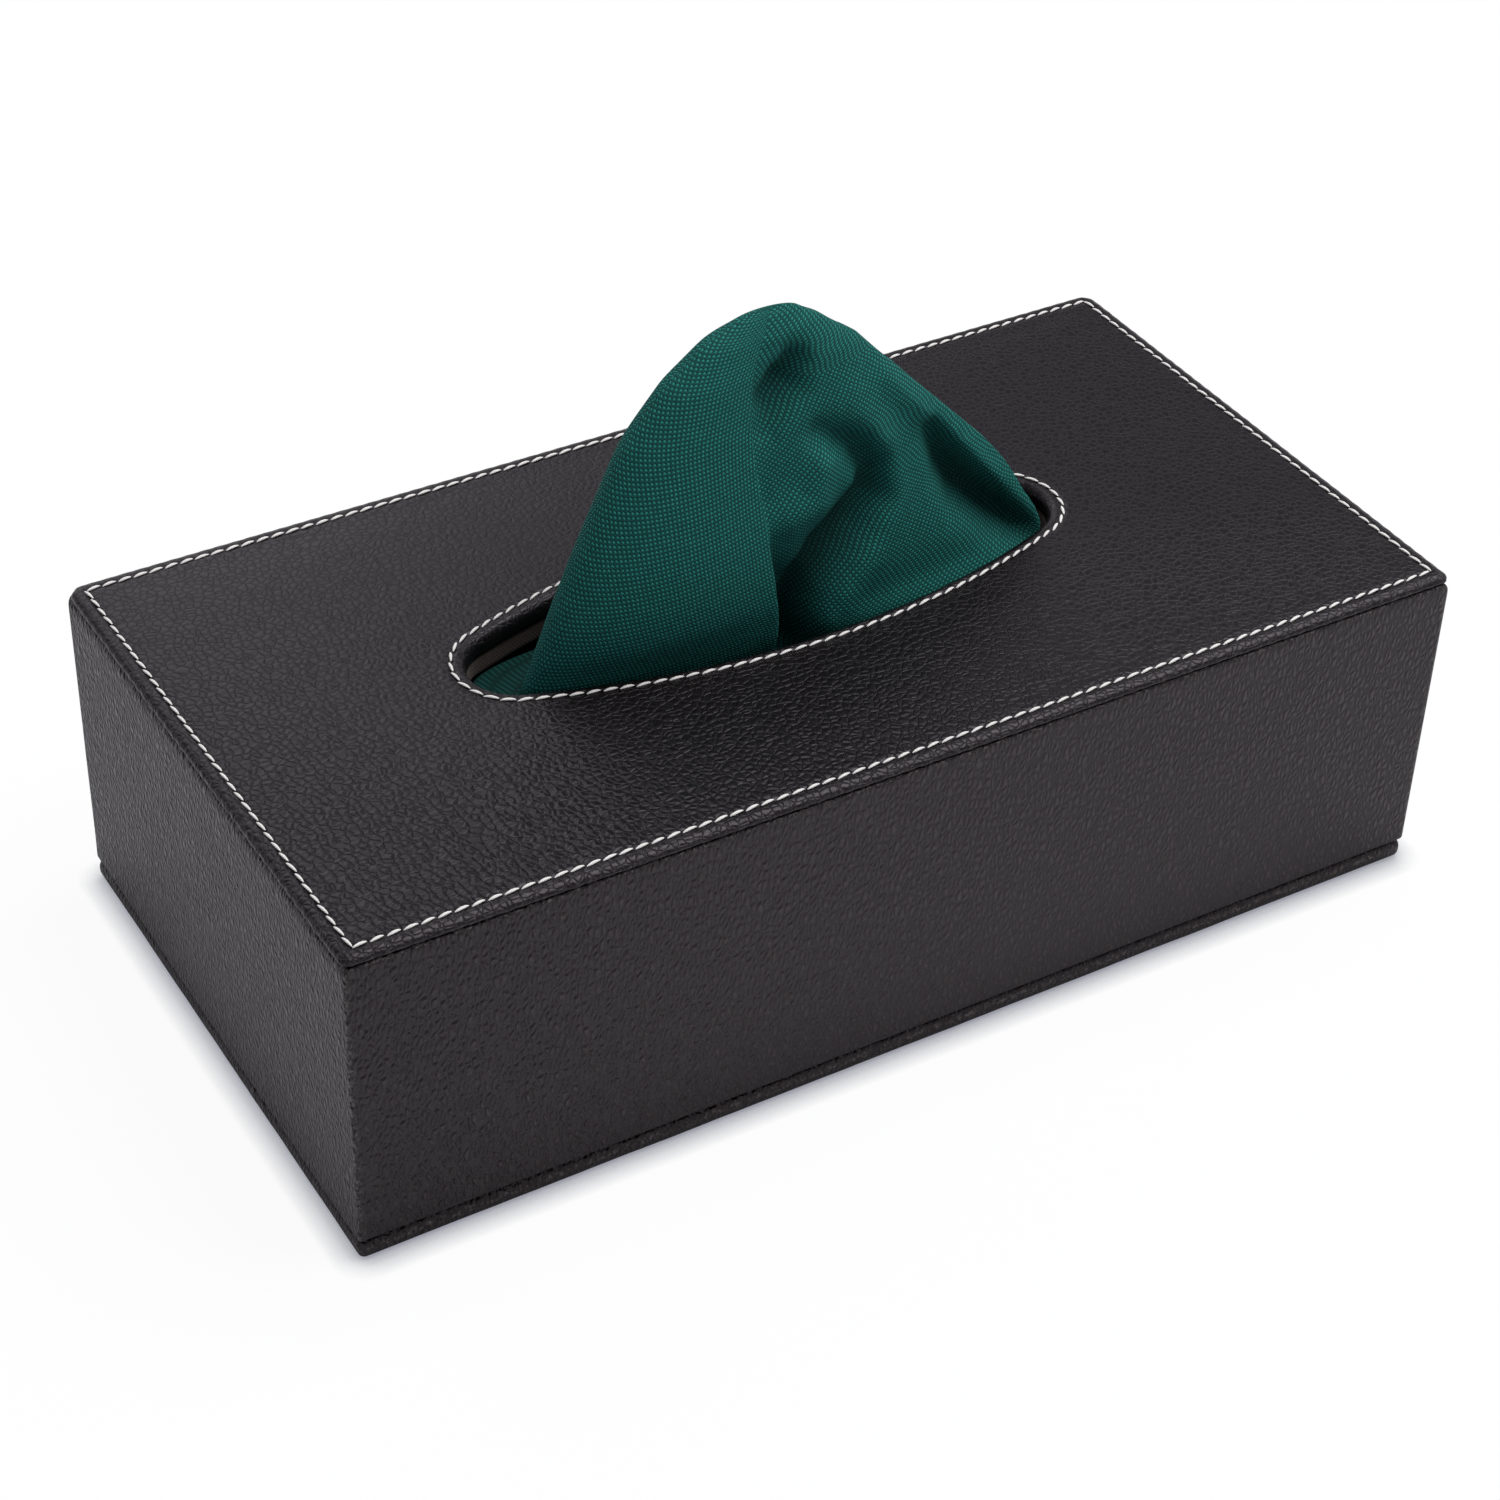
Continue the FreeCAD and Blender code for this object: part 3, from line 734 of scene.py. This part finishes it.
def sideWearAndHighlight(point):
    # worn, and given painted highlight, on the upright edges and along the upper edge
    fromCorner = wrapHigh.x - abs(point.x) + wrapHigh.y - abs(point.y)
    amount, below, halfWidth = sideSkin["wornAndHighlightBand"]
    fromBand = abs(topSkin["seam"] - below - point.z)
    return max(1 - fromCorner / sideSkin["wornAndHighlightCorner"], amount - fromBand / halfWidth)


bm = rolledSkin(ringColumns, len(sideProfile) - 1, sidePlace)
faceOutwards(bm, Vector((0, 0, wrapHigh.z / 2)))
markWearAndHighlight(bm, sideWearAndHighlight)
sideLeather = makePiece("sideLeather", bm, sideHide)
addThickness(sideLeather, sideHideWall)
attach(sideLeather, "cover")
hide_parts("side_leather_wrap")
print("side leather:", len(sideLeather.data.polygons), "faces")


# Leather round the base plate

baseSkin = {
    "cornerRadius": 1.6 * mm,
    "edgeRadius": 1.9 * mm,
    "outset": 0.45 * mm,  # nearly out to the walls' faces, except behind the hinge strip
    "border": 15.0 * mm,  # how far the leather lies over the board's upper side
    "borderEdge": ((0, 1.0), (0, 0.2), (0.3, 0)),  # its inner edge: mm out and mm down
    "upperRows": (11, 8, 5.6, 4, 3),      # mm in from the base's edge
    "lowerRows": (3, 5, 9, 20, 40),
    "wave": 0.08 * mm,
    "waves": ((1, 16 * mm, 7.0), (0.5, 5 * mm, 8.0)),  # share, size and seed
    "wornAndHighlightBand": (0.5, 1.7 * mm, 1.6 * mm),  # wear and painted highlight round the edge: amount, below the top, half width
}


def baseRows():
    # each row: how far in from the base's edge, and its height
    high = baseHigh.z
    radius = baseSkin["edgeRadius"]
    turns = quarterTurn(5)
    rows = [(baseSkin["border"] - out * mm, high - drop * mm) for out, drop in baseSkin["borderEdge"]]
    rows += [(inset * mm, high) for inset in baseSkin["upperRows"]]
    rows += [(radius - radius * sine, high - radius + radius * cosine) for cosine, sine in turns]
    rows += [(radius - radius * cosine, radius - radius * sine) for cosine, sine in turns]
    rows += [(inset * mm, 0) for inset in baseSkin["lowerRows"]]
    rows.append((baseHigh.y, 0))
    return rows


baseProfile = baseRows()


def basePlace(column, row):
    inset, height = baseProfile[row]
    cornerRadius = max(baseSkin["cornerRadius"] - inset, tightCorner)
    grown = baseSkin["outset"] * min(1, max(0, 1 - inset / baseSkin["border"]))
    halfLength = baseHigh.x - inset + grown
    halfWidth = baseHigh.y - inset + grown
    point = edgePoint(column, halfLength, halfWidth, min(cornerRadius, halfWidth)).to_3d()
    point.z = height
    if inset < baseSkin["edgeRadius"] and height > 0:
        uneven = sum(share * unevenness(point, size, seed) for share, size, seed in baseSkin["waves"])
        out = baseSkin["wave"] * (uneven - 1)
        pushFace(point, halfLength, halfWidth, out)
    point.y = min(point.y, stripLow.y - stripGap)
    return point


def baseWearAndHighlight(point):
    # worn, and given painted highlight, along the base's upper edge
    amount, below, halfWidth = baseSkin["wornAndHighlightBand"]
    return amount - abs(point.z - baseHigh.z + below) / halfWidth


bm = rolledSkin(ringColumns, len(baseProfile) - 1, basePlace)
bmesh.ops.dissolve_degenerate(bm, dist=0.001 * mm, edges=bm.edges)
faceOutwards(bm, Vector((0, 0, baseHigh.z / 2)))
markWearAndHighlight(bm, baseWearAndHighlight)
baseLeather = makePiece("baseLeather", bm, sideHide)
addThickness(baseLeather, sideHideWall)
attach(baseLeather, "base")
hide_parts("base_leather")
print("base leather:", len(baseLeather.data.polygons), "faces")


# Hinge strip between base and cover, built flat

hingeStrip = {
    "rows": 24,
    "columns": 80,
    "thickness": 0.4 * mm,
    "inward": 0.02 * mm,         # how far it lies behind the walls' rear face
    "uneven": 0.03 * mm,
    "unevenSize": 9 * mm,
    "edge": 0.15 * mm,           # how far its pared edges dip
    "edgeWidth": 0.6 * mm,
    "hingeHeight": 4.95 * mm,    # of the line that it bends on
    "bend": 0.8 * mm,            # how far to both sides of it the leather bends
}


def stripPlace(vert):
    x = vert.co.x * 2 * stripHigh.x
    z = stripLow.z + (vert.co.y + 0.5) * (stripHigh.z - stripLow.z)
    uneven = hingeStrip["uneven"] * unevenness((x, 0, z), hingeStrip["unevenSize"], 9.0)
    nearEdge = min(z - stripLow.z, stripHigh.z - z, stripHigh.x - abs(x))
    dip = hingeStrip["edge"] * max(0, 1 - nearEdge / hingeStrip["edgeWidth"]) ** 2
    return Vector((x, stripHigh.y - hingeStrip["inward"] + uneven - dip, z))


bm = bmesh.new()
bmesh.ops.create_grid(bm, x_segments=hingeStrip["columns"], y_segments=hingeStrip["rows"], size=0.5)
for vert in bm.verts:
    vert.co = stripPlace(vert)
faceOutwards(bm, Vector((0, 0, stripHigh.z)))
strip = makePiece("hingeStrip", bm, sideHide)
addThickness(strip, hingeStrip["thickness"])
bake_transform(strip)
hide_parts("hinge_strip")
print("hinge strip made")


# The cloth, pulled up through the slot

clothForm = {
    # height, left tip, crease, right tip, middle of the back, how far the left lobe and the right front stand
    # out, and how far the right front lies behind the left lobe at the crease, all in millimetres
    "levels": (
        (56.0, (-60.0, -6.0), (-5.0, -12.0), (61.5, -3.0), 8.0, 5.0, 5.0, 5.0),
        (64.0, (-60.0, -6.5), (-5.0, -13.0), (62.0, -4.0), 9.0, 5.0, 5.5, 6.0),
        (70.0, (-60.0, -7.0), (-5.0, -14.5), (62.6, -6.5), 9.0, 4.5, 6.0, 7.0),
        (75.0, (-58.5, -8.0), (-5.0, -15.5), (62.3, -7.0), 9.0, 4.6, 2.5, 7.5),
        (83.0, (-55.5, -8.0), (-6.3, -16.2), (58.0, -6.0), 9.0, 7.0, 1.5, 6.5),
        (93.5, (-50.5, -7.0), (-8.0, -15.0), (51.5, -4.5), 9.0, 7.5, 0.5, 2.4),
        (106.5, (-43.3, -5.0), (-9.4, -12.0), (39.5, -2.5), 8.4, 6.8, 1.0, 1.5),
        (119.0, (-35.7, -3.0), (-10.0, -9.4), (27.5, -1.5), 7.4, 5.4, 2.0, 1.5),
        (128.8, (-26.7, -2.0), (-8.5, -6.6), (18.0, -0.5), 6.2, 4.0, 3.0, 1.0),
        (135.2, (-17.5, -1.0), (-5.0, -3.6), (9.5, 0.0), 4.4, 2.6, 2.4, 0.0),
        (138.1, (-9.0, 0.0), (-2.5, -1.2), (4.5, 0.2), 2.2, 1.2, 1.2, 0.0),
        (138.7, (-4.5, 0.4), (-1.5, 0.2), (1.5, 0.4), 0.8, 0.2, 0.2, 0.0),
    ),
    "tailHeights": (56, 59, 62, 64, 65.2, 66, 66.6, 67.0, 67.2, 67.4, 67.6, 67.8, 68.0, 68.2, 68.4, 68.6,
                    69.0, 69.6, 70.4, 71.6, 73, 74.2),
    "rowsFrom": 75.0,        # mm, the height where the slot's mouth is
    "rows": 86,              # above it
    "rowsCloser": 0.95,      # the smaller, the more they crowd towards the peak
    "leftColumns": 70,
    "rightColumns": 120,
    "backColumns": 100,
    "skirt": (68.7, 67.0),   # heights between which the cloth spreads out to the slot's left end
    "leftSkirt": 1.6,        # how soon that ends along the left lobe
    "backSkirt": (0.62, 0.9),  # and where it starts and is full along the back
    "slotGap": 3.4 * mm,     # inward from the slot's stitches
    "bulge": 2.6,            # brings the highest point of a lobe's curve to 1
    "creaseReach": 6.5,
    "frontFade": 10,         # how fast the folds start from the tips
    "backFade": 6,
    "leftEdge": 27.0,        # degrees that the left lobe's edge leans
    "leftThreads": 42.0,     # and its threads
    "openAbove": 130 * mm,   # the ring there is closed over
    "peakAbove": 131 * mm,   # and rounded from here up
    "peakSoftenings": 8,     # passes of smoothing there
    "softenings": 2,         # and of the whole cloth before that
    "rightSlotShade": (68, 62),   # mm: from the first height down to the second, painted shade darkens the cloth down in the slot
    "leftSlotShade": (73, 68),
    "fullShadeFoldDepth": 8,           # mm, and painted shade darkens a fold fully when it is as deep as this
    "thickness": 0.6 * mm,
}
# Folds on the front: a line of (x, height, depth, half width) in mm, where a negative depth is a ridge
clothFolds = (
    ((5.3, 113.6, 2, 2.5), (14.1, 108.2, 3.7, 3), (18.6, 101, 5.5, 3.6), (17.6, 95.5, 6.8, 4.2),
     (12.7, 91, 8.2, 5.4), (6.8, 86.5, 9, 6.2), (2.6, 81, 9, 5), (0.4, 74.5, 7.5, 3.4), (-0.4, 65, 6.5, 3)),
    ((6.7, 110.5, -0.7, 3.5), (5.3, 106.8, -2.7, 4), (2.9, 100.6, -2.6, 4.2), (-3.3, 98.4, -2, 4),
     (-8, 98.2, -1, 3.5)),
    ((34.8, 103.2, 4, 3), (38.3, 95.2, 6, 4), (41.9, 88.8, 7, 4.5), (50.1, 80.7, 6.5, 4),
     (58.8, 73.5, 5, 3.5), (61.5, 70.5, 4, 3)),
    ((24, 119, -1, 3.5), (34, 107.5, -1.8, 3.5), (44, 96, -2.2, 3.5), (53.3, 85.8, -2.5, 3.5),
     (59.5, 78, -2, 3)),
    ((14.3, 116.8, -1.3, 5), (20.5, 105.7, -2.5, 4.5), (22.5, 93.8, -1.5, 4.5), (16, 85, -1.5, 4.5),
     (10, 77, -1, 4)),
    ((0.8, 128.6, 4.5, 3.2), (-1.4, 125.6, 6.5, 3.8), (-4.5, 122.4, 5, 3.6), (-6.4, 118, 2, 3)),
)
# The back can't be seen in the photograph: three soft falls
backFolds = (
    ((-31, 72, 2.2, 5), (-24, 92, 2.6, 5), (-13, 116, 1.4, 4)),
    ((6, 68, 3, 6), (7, 92, 3.4, 6), (1, 120, 1.6, 5)),
    ((40, 68, 2.2, 5), (31, 90, 2.6, 5), (19, 110, 1.2, 4)),
)


def between(values, share):
    # a smooth curve through four values, from the second to the third
    a, b, c, d = values
    return b + 0.5 * share * (c - a + share * (2 * a - 5 * b + 4 * c - d + share * (3 * (b - c) + d - a)))


def smoothStep(low, high, value):
    share = min(max((value - low) / (high - low), 0), 1)
    return share * share * (3 - 2 * share)


def clothLevel(height):
    # the section's sizes at one height
    levels = [[row[0], *row[1], *row[2], *row[3], *row[4:]] for row in clothForm["levels"]]
    place = max(i for i in range(len(levels) - 1) if levels[i][0] <= height or i == 0)
    share = (height - levels[place][0]) / (levels[place + 1][0] - levels[place][0])
    near = [levels[min(max(place + i, 0), len(levels) - 1)] for i in (-1, 0, 1, 2)]
    return [between(column, share) for column in zip(*near)]


def foldDepth(x, height, lines):
    # how far the folds draw the cloth in at a place
    depth = 0
    here = Vector((x, height))
    for line in lines:
        pull = 0
        for start, end in zip(line, line[1:]):
            first = Vector(start[:2])
            run = Vector(end[:2]) - first
            share = min(max((here - first).dot(run) / run.length_squared, 0), 1)
            near = [a + (b - a) * share for a, b in zip(start, end)]
            off = (here - Vector(near[:2])).length
            drawn = near[2] * math.exp(-(off / near[3]) ** 2)
            if abs(drawn) > abs(pull):
                pull = drawn
        depth += pull
    return depth


def clothHeights():
    # rows are closer together towards the peak
    low = clothForm["rowsFrom"]
    high = clothForm["levels"][-1][0]
    rows = clothForm["rows"]
    turns = [math.pi / 2 * (i / rows) ** clothForm["rowsCloser"] for i in range(rows + 1)]
    return list(clothForm["tailHeights"]) + [low + (high - low) * math.sin(turn) for turn in turns]


clothRows = clothHeights()
clothSizes = [clothLevel(height) for height in clothRows]
clothTurns = (0, clothForm["leftColumns"], clothForm["leftColumns"] + clothForm["rightColumns"],
              clothForm["leftColumns"] + clothForm["rightColumns"] + clothForm["backColumns"])


def clothPlace(column, row):
    height = clothRows[row]
    _, leftX, leftY, creaseX, creaseY, rightX, rightY, back, leftOut, rightOut, step = clothSizes[row]
    left, crease, right = Vector((leftX, leftY)), Vector((creaseX, creaseY)), Vector((rightX, rightY))
    spread = 1 - smoothStep(clothForm["skirt"][1], clothForm["skirt"][0], height)
    if column < clothTurns[1]:
        share = column / clothTurns[1]
        point = left.lerp(crease, share)
        point.y -= leftOut * clothForm["bulge"] * math.sqrt(share) * (1 - share)
        rim = slotPoint(0.5 + 0.25 * share, clothForm["slotGap"]) / mm
        point = point.lerp(rim, spread * max(0, 1 - clothForm["leftSkirt"] * share))
    elif column < clothTurns[2]:
        share = (column - clothTurns[1]) / clothForm["rightColumns"]
        point = crease.lerp(right, share)
        point.y -= rightOut * clothForm["bulge"] * math.sqrt(1 - share) * share
        point.y += step * math.exp(-((point.x - creaseX) / clothForm["creaseReach"]) ** 2)
        fade = min(1, clothForm["frontFade"] * (1 - share))
        point.y += fade * foldDepth(point.x, height, clothFolds)
    else:
        share = (column - clothTurns[2]) / clothForm["backColumns"]
        point = right.lerp(left, share)
        point.y += (back - (leftY + rightY) / 2) * 2 * math.sqrt(share * (1 - share))
        fade = min(1, clothForm["backFade"] * share, clothForm["backFade"] * (1 - share))
        point.y -= fade * foldDepth(point.x, height, backFolds)
        rim = slotPoint(0.25 + 0.5 * (share - 0.5), clothForm["slotGap"]) / mm
        point = point.lerp(rim, spread * smoothStep(*clothForm["backSkirt"], share))
    return Vector((point.x, point.y, height)) * mm


def clothFlat(chart, column, row):
    # where a point lies on the flat cloth: the left lobe's threads follow its edge, the others stand upright
    first = clothTurns[chart]
    across = clothRuns[row][min(column, clothTurns[3])] - clothRuns[row][first]
    if chart == 0:
        turn = math.radians(clothForm["leftThreads"])
        up = clothRises[0][row]
        side = across + up * math.tan(math.radians(clothForm["leftEdge"]))
        return (side * math.cos(turn) - up * math.sin(turn), side * math.sin(turn) + up * math.cos(turn))
    return (across, clothRises[chart][row])


def pathLengths(points):
    lengths = [0]
    for a, b in zip(points, points[1:]):
        lengths.append(lengths[-1] + (b - a).length)
    return lengths


# Lengths round each row of the cloth, and up the middle column of each of its three sides
clothRuns = []
for row in range(len(clothRows)):
    clothRuns.append(pathLengths([clothPlace(i % clothTurns[3], row) for i in range(clothTurns[3] + 1)]))
clothRises = []
for first, last in zip(clothTurns, clothTurns[1:]):
    clothRises.append(pathLengths([clothPlace((first + last) // 2, row) for row in range(len(clothRows))]))
bm = rolledSkin(clothTurns[3], len(clothRows) - 1, clothPlace)
columnTag = bm.verts.layers.int["column"]
rowTag = bm.verts.layers.int["row"]
flatMap = bm.loops.layers.uv.new("flat")
for face in bm.faces:
    columns = [vert[columnTag] for vert in face.verts]
    wraps = max(columns) - min(columns) > 2  # the last faces join the first column again
    firstColumn = max(columns) if wraps else min(columns)
    chart = 0 if firstColumn < clothTurns[1] else 1 if firstColumn < clothTurns[2] else 2
    for loop in face.loops:
        column = clothTurns[3] if wraps and loop.vert[columnTag] == 0 else loop.vert[columnTag]
        loop[flatMap].uv = clothFlat(chart, column, loop.vert[rowTag])
openTop = [edge for edge in bm.edges if edge.is_boundary and edge.verts[0].co.z > clothForm["openAbove"]]
bmesh.ops.contextual_create(bm, geom=openTop)
soften(bm, [vert for vert in bm.verts if not vert.is_boundary], clothForm["softenings"])
soften(bm, [vert for vert in bm.verts if vert.co.z > clothForm["peakAbove"]], clothForm["peakSoftenings"])
# painted shade: how far each place is folded in or sunk in the slot, which darkens the cloth's colour
shadeTag = bm.verts.layers.float.new("paintedFoldShade")
for vert in bm.verts:
    column = vert[columnTag]
    onRight = clothTurns[1] <= column < clothTurns[2]
    x, height = vert.co.x / mm, vert.co.z / mm
    slotShade = smoothStep(*clothForm["rightSlotShade" if onRight else "leftSlotShade"], height)
    drawn = foldDepth(x, height, clothFolds) / clothForm["fullShadeFoldDepth"] if onRight else 0
    vert[shadeTag] = min(max(drawn, slotShade, 0), 1)
faceOutwards(bm, Vector((0, 0, 95 * mm)))
greenCloth = makePiece("greenCloth", bm, cotton)
addThickness(greenCloth, clothForm["thickness"])
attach(greenCloth, "cloth")
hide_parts("green_cloth")
print("cloth:", len(greenCloth.data.polygons), "faces,", round(faceArea(greenCloth), 5), "square metres")


# Linings of the box and of the base, glued flat on their boards

linings = {
    "thickness": 0.45 * mm,
    "cell": 5.0 * mm,
    "uneven": 0.06 * mm,
    "unevenSize": 14 * mm,
    # solid, board behind it, and the way that its face looks
    "plates": (
        ("front_lining", "front_wall_board", (0, 1, 0)), ("rear_lining", "rear_wall_board", (0, -1, 0)),
        ("left_lining", "left_wall_board", (1, 0, 0)), ("right_lining", "right_wall_board", (-1, 0, 0)),
        ("base_lining", "base_board", (0, 0, 1)),
    ),
}


def lineBoard(node, facing):
    low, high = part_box(node)
    across = [axis for axis in range(3) if not facing[axis]]
    through = [axis for axis in range(3) if facing[axis]][0]
    size = high - low
    bm = bmesh.new()
    bmesh.ops.create_grid(bm, x_segments=round(size[across[0]] / linings["cell"]),
                          y_segments=round(size[across[1]] / linings["cell"]), size=0.5)
    for vert in bm.verts:
        place = Vector(low)
        place[across[0]] += (vert.co.x + 0.5) * size[across[0]]
        place[across[1]] += (vert.co.y + 0.5) * size[across[1]]
        face = high[through] if facing[through] > 0 else low[through]
        dip = linings["uneven"] * (1 + unevenness(place, linings["unevenSize"], 11.0)) / 2
        place[through] = face - dip * facing[through]
        vert.co = place
    faceOutwards(bm, (low + high) / 2 - Vector(facing) * size.length)
    piece = makePiece(node.split("_")[0] + "LiningCloth", bm, lining)
    addThickness(piece, linings["thickness"] - linings["uneven"])
    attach(piece, "base" if node == "base_lining" else "cover")
    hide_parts(node)


for node, boardNode, facing in linings["plates"]:
    lineBoard(node, facing)

topLining = {
    "step": 4,          # columns of the leather for each of its own
    "rows": 12,
    "hole": 2.1 * mm,   # inward from the slot's stitches
}
liningLow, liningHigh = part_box("top_lining")


def topLiningPlace(column, row):
    column *= topLining["step"]
    atSlot = slotPoint(column / ringColumns, topLining["hole"])
    atEdge = edgePoint(column, liningHigh.x, liningHigh.y, tightCorner)
    point = atSlot.lerp(atEdge, row / topLining["rows"]).to_3d()
    point.z = liningLow.z + linings["uneven"] * (1 + unevenness(point, linings["unevenSize"], 12.0)) / 2
    return point


bm = rolledSkin(ringColumns // topLining["step"], topLining["rows"], topLiningPlace)
faceOutwards(bm, Vector((0, 0, liningHigh.z + 0.1)))
topLiningCloth = makePiece("topLiningCloth", bm, lining)
addThickness(topLiningCloth, linings["thickness"] - linings["uneven"])
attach(topLiningCloth, "cover")
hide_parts("top_lining")

slotTape = {
    "step": 4,
    # mm inward from the slot's stitches, mm up from its lower edge; round the tape and back to the start
    "section": ((2.05, 4.4), (2.6, 4.4), (2.78, 4.2), (2.8, 3.4), (2.8, 2.2), (2.8, 1.0), (2.78, 0.3),
                (2.6, 0.05), (2.05, 0.05)),
    "face": 2.5,         # mm inward; what lies further in is its open face
    "uneven": 0.12 * mm,
    "unevenSize": 7 * mm,
    "cut": 10.0 * mm,    # width of the tape, part of it under the leather
}


def tapePlace(column, row):
    inward, rise = slotTape["section"][row % len(slotTape["section"])]
    point = slotPoint(column * slotTape["step"] / ringColumns, inward * mm).to_3d()
    point.z = bindingLow.z + rise * mm
    if inward > slotTape["face"]:
        bulge = slotTape["uneven"] * unevenness(point, slotTape["unevenSize"], 13.0)
        point.xy *= 1 + bulge / point.xy.length
    return point


bm = rolledSkin(ringColumns // slotTape["step"], len(slotTape["section"]), tapePlace)
bmesh.ops.recalc_face_normals(bm, faces=bm.faces)
slotBinding = makePiece("slotBinding", bm, tape)
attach(slotBinding, "cover")
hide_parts("slot_binding")
print("linings and binding made")


# Boards and steel keep the solids' shapes

for node, material in (
    ("top_board", board), ("front_wall_board", board), ("rear_wall_board", board),
    ("left_wall_board", board), ("right_wall_board", board), ("base_board", board),
    ("wall_magnets", steel), ("base_strike_plates", steel),
):
    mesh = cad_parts[node].data
    mesh.materials.clear()
    mesh.materials.append(material)


# Floor, light and camera

studio = {
    "floorRadius": 12.0,
    "floorSides": 64,
    "floorDrop": 0.1 * mm,       # keeps the base's underside clear of the paper
    "backdrop": 2.4,             # radius and height of the paper's turned-up edge, which low views see
    "bends": 8,
    "paper": "#fdfdff",
    "paperRough": 0.9,
    "glow": 0.94,                # share of the floor that is seen at its own white, whatever falls on it
    # the dark line round the base, as seen and as polished leather mirrors it: its reach, its tone and the
    # tone of the open paper
    "seenShadow": (5.6 * mm, "#989aa4", "#ffffff"),
    "mirroredShadow": (13.0 * mm, "#303036", "#fcfbff"),
    "world": 0.24,
    "worldTint": "#f1f2ff",
    "lamps": (
        # name, power, size, place, aim
        ("topSoftbox", 19.0, 1.1, (0.54, -0.16, 1.3), (0, 0, 0.05)),
        ("backPanel", 4.0, 1.0, (-0.02, 1.02, 0.86), (0, 0, 0.07)),
    ),
}

bm = bmesh.new()
bmesh.ops.create_circle(bm, cap_ends=True, segments=studio["floorSides"], radius=studio["floorRadius"])
bmesh.ops.translate(bm, verts=bm.verts, vec=(0, 0, -studio["floorDrop"]))
for cosine, sine in quarterTurn(studio["bends"])[1:]:
    rim = [edge for edge in bm.edges if edge.is_boundary]
    raised = bmesh.ops.extrude_edge_only(bm, edges=rim)["geom"]
    for vert in raised:
        if isinstance(vert, bmesh.types.BMVert):
            out = vert.co.xy.normalized() * (studio["floorRadius"] + studio["backdrop"] * sine)
            vert.co = (out.x, out.y, studio["backdrop"] * (1 - cosine))
paper, tree, shader = newMaterial("whiteStudioPaper")
setInputs(tree, shader, {"Base Color": hexToLinear(studio["paper"]), "Roughness": studio["paperRough"]})
# the camera and mirror rays see white paper that darkens where the object stands close
path = addNode(tree, "ShaderNodeLightPath", {}, {})
tones = []
for reach, shaded, clear in (studio["seenShadow"], studio["mirroredShadow"]):
    openness = addNode(tree, "ShaderNodeAmbientOcclusion", {"samples": 3}, {"Distance": reach})
    share = addNode(tree, "ShaderNodeMapRange", {}, {"Value": openness.outputs["AO"], "From Min": 0.5})
    tones.append(addNode(tree, "ShaderNodeMix", {"data_type": "RGBA"}, {
        "Factor": share.outputs[0], 6: hexToLinear(shaded), 7: hexToLinear(clear)}))
mirrored = addNode(tree, "ShaderNodeMath", {"operation": "MAXIMUM"}, {
    0: path.outputs["Is Glossy Ray"], 1: path.outputs["Is Transmission Ray"]})
tone = addNode(tree, "ShaderNodeMix", {"data_type": "RGBA"}, {
    "Factor": mirrored.outputs[0], 6: tones[0].outputs[2], 7: tones[1].outputs[2]})
seen = addNode(tree, "ShaderNodeMath", {"operation": "MAXIMUM"}, {
    0: path.outputs["Is Camera Ray"], 1: mirrored.outputs[0]})
part = addNode(tree, "ShaderNodeMath", {"operation": "MULTIPLY"}, {0: seen.outputs[0], 1: studio["glow"]})
glow = addNode(tree, "ShaderNodeEmission", {}, {"Color": tone.outputs[2], "Strength": 1.0})
mixed = addNode(tree, "ShaderNodeMixShader", {}, {
    0: part.outputs[0], 1: shader.outputs[0], 2: glow.outputs[0]})
tree.links.new(mixed.outputs[0], tree.nodes["Material Output"].inputs["Surface"])
floor = makePiece("studioFloor", bm, paper, smooth=False)

world = bpy.data.worlds.new("studioWorld")
bpy.context.scene.world = world
world.use_nodes = True
setInputs(world.node_tree, world.node_tree.nodes["Background"], {
    "Color": hexToLinear(studio["worldTint"]), "Strength": studio["world"]})

for name, power, size, place, target in studio["lamps"]:
    lamp = bpy.data.lights.new(name, "AREA")
    lamp.energy = power
    lamp.size = size
    lampObject = bpy.data.objects.new(name, lamp)
    lampObject.location = place
    lampObject.rotation_euler = (Vector(target) - Vector(place)).to_track_quat("-Z", "Y").to_euler()
    bpy.context.scene.collection.objects.link(lampObject)

view = {
    "place": (-298.6 * mm, -477.8 * mm, 467.4 * mm),
    "turn": (52.25, -1.57, -30.557),  # degrees
    "lens": 81.25,                    # mm, on a sensor of this width
    "sensor": 36,
}
lens = bpy.data.cameras.new("photoCamera")
lens.lens = view["lens"]
lens.sensor_width = view["sensor"]
camera = bpy.data.objects.new("photoCamera", lens)
camera.location = view["place"]
camera.rotation_euler = Euler([math.radians(angle) for angle in view["turn"]])
bpy.context.scene.collection.objects.link(camera)
bpy.context.scene.camera = camera
bpy.context.scene.view_settings.view_transform = "Standard"
print("studio set")

bpy.context.view_layer.update()
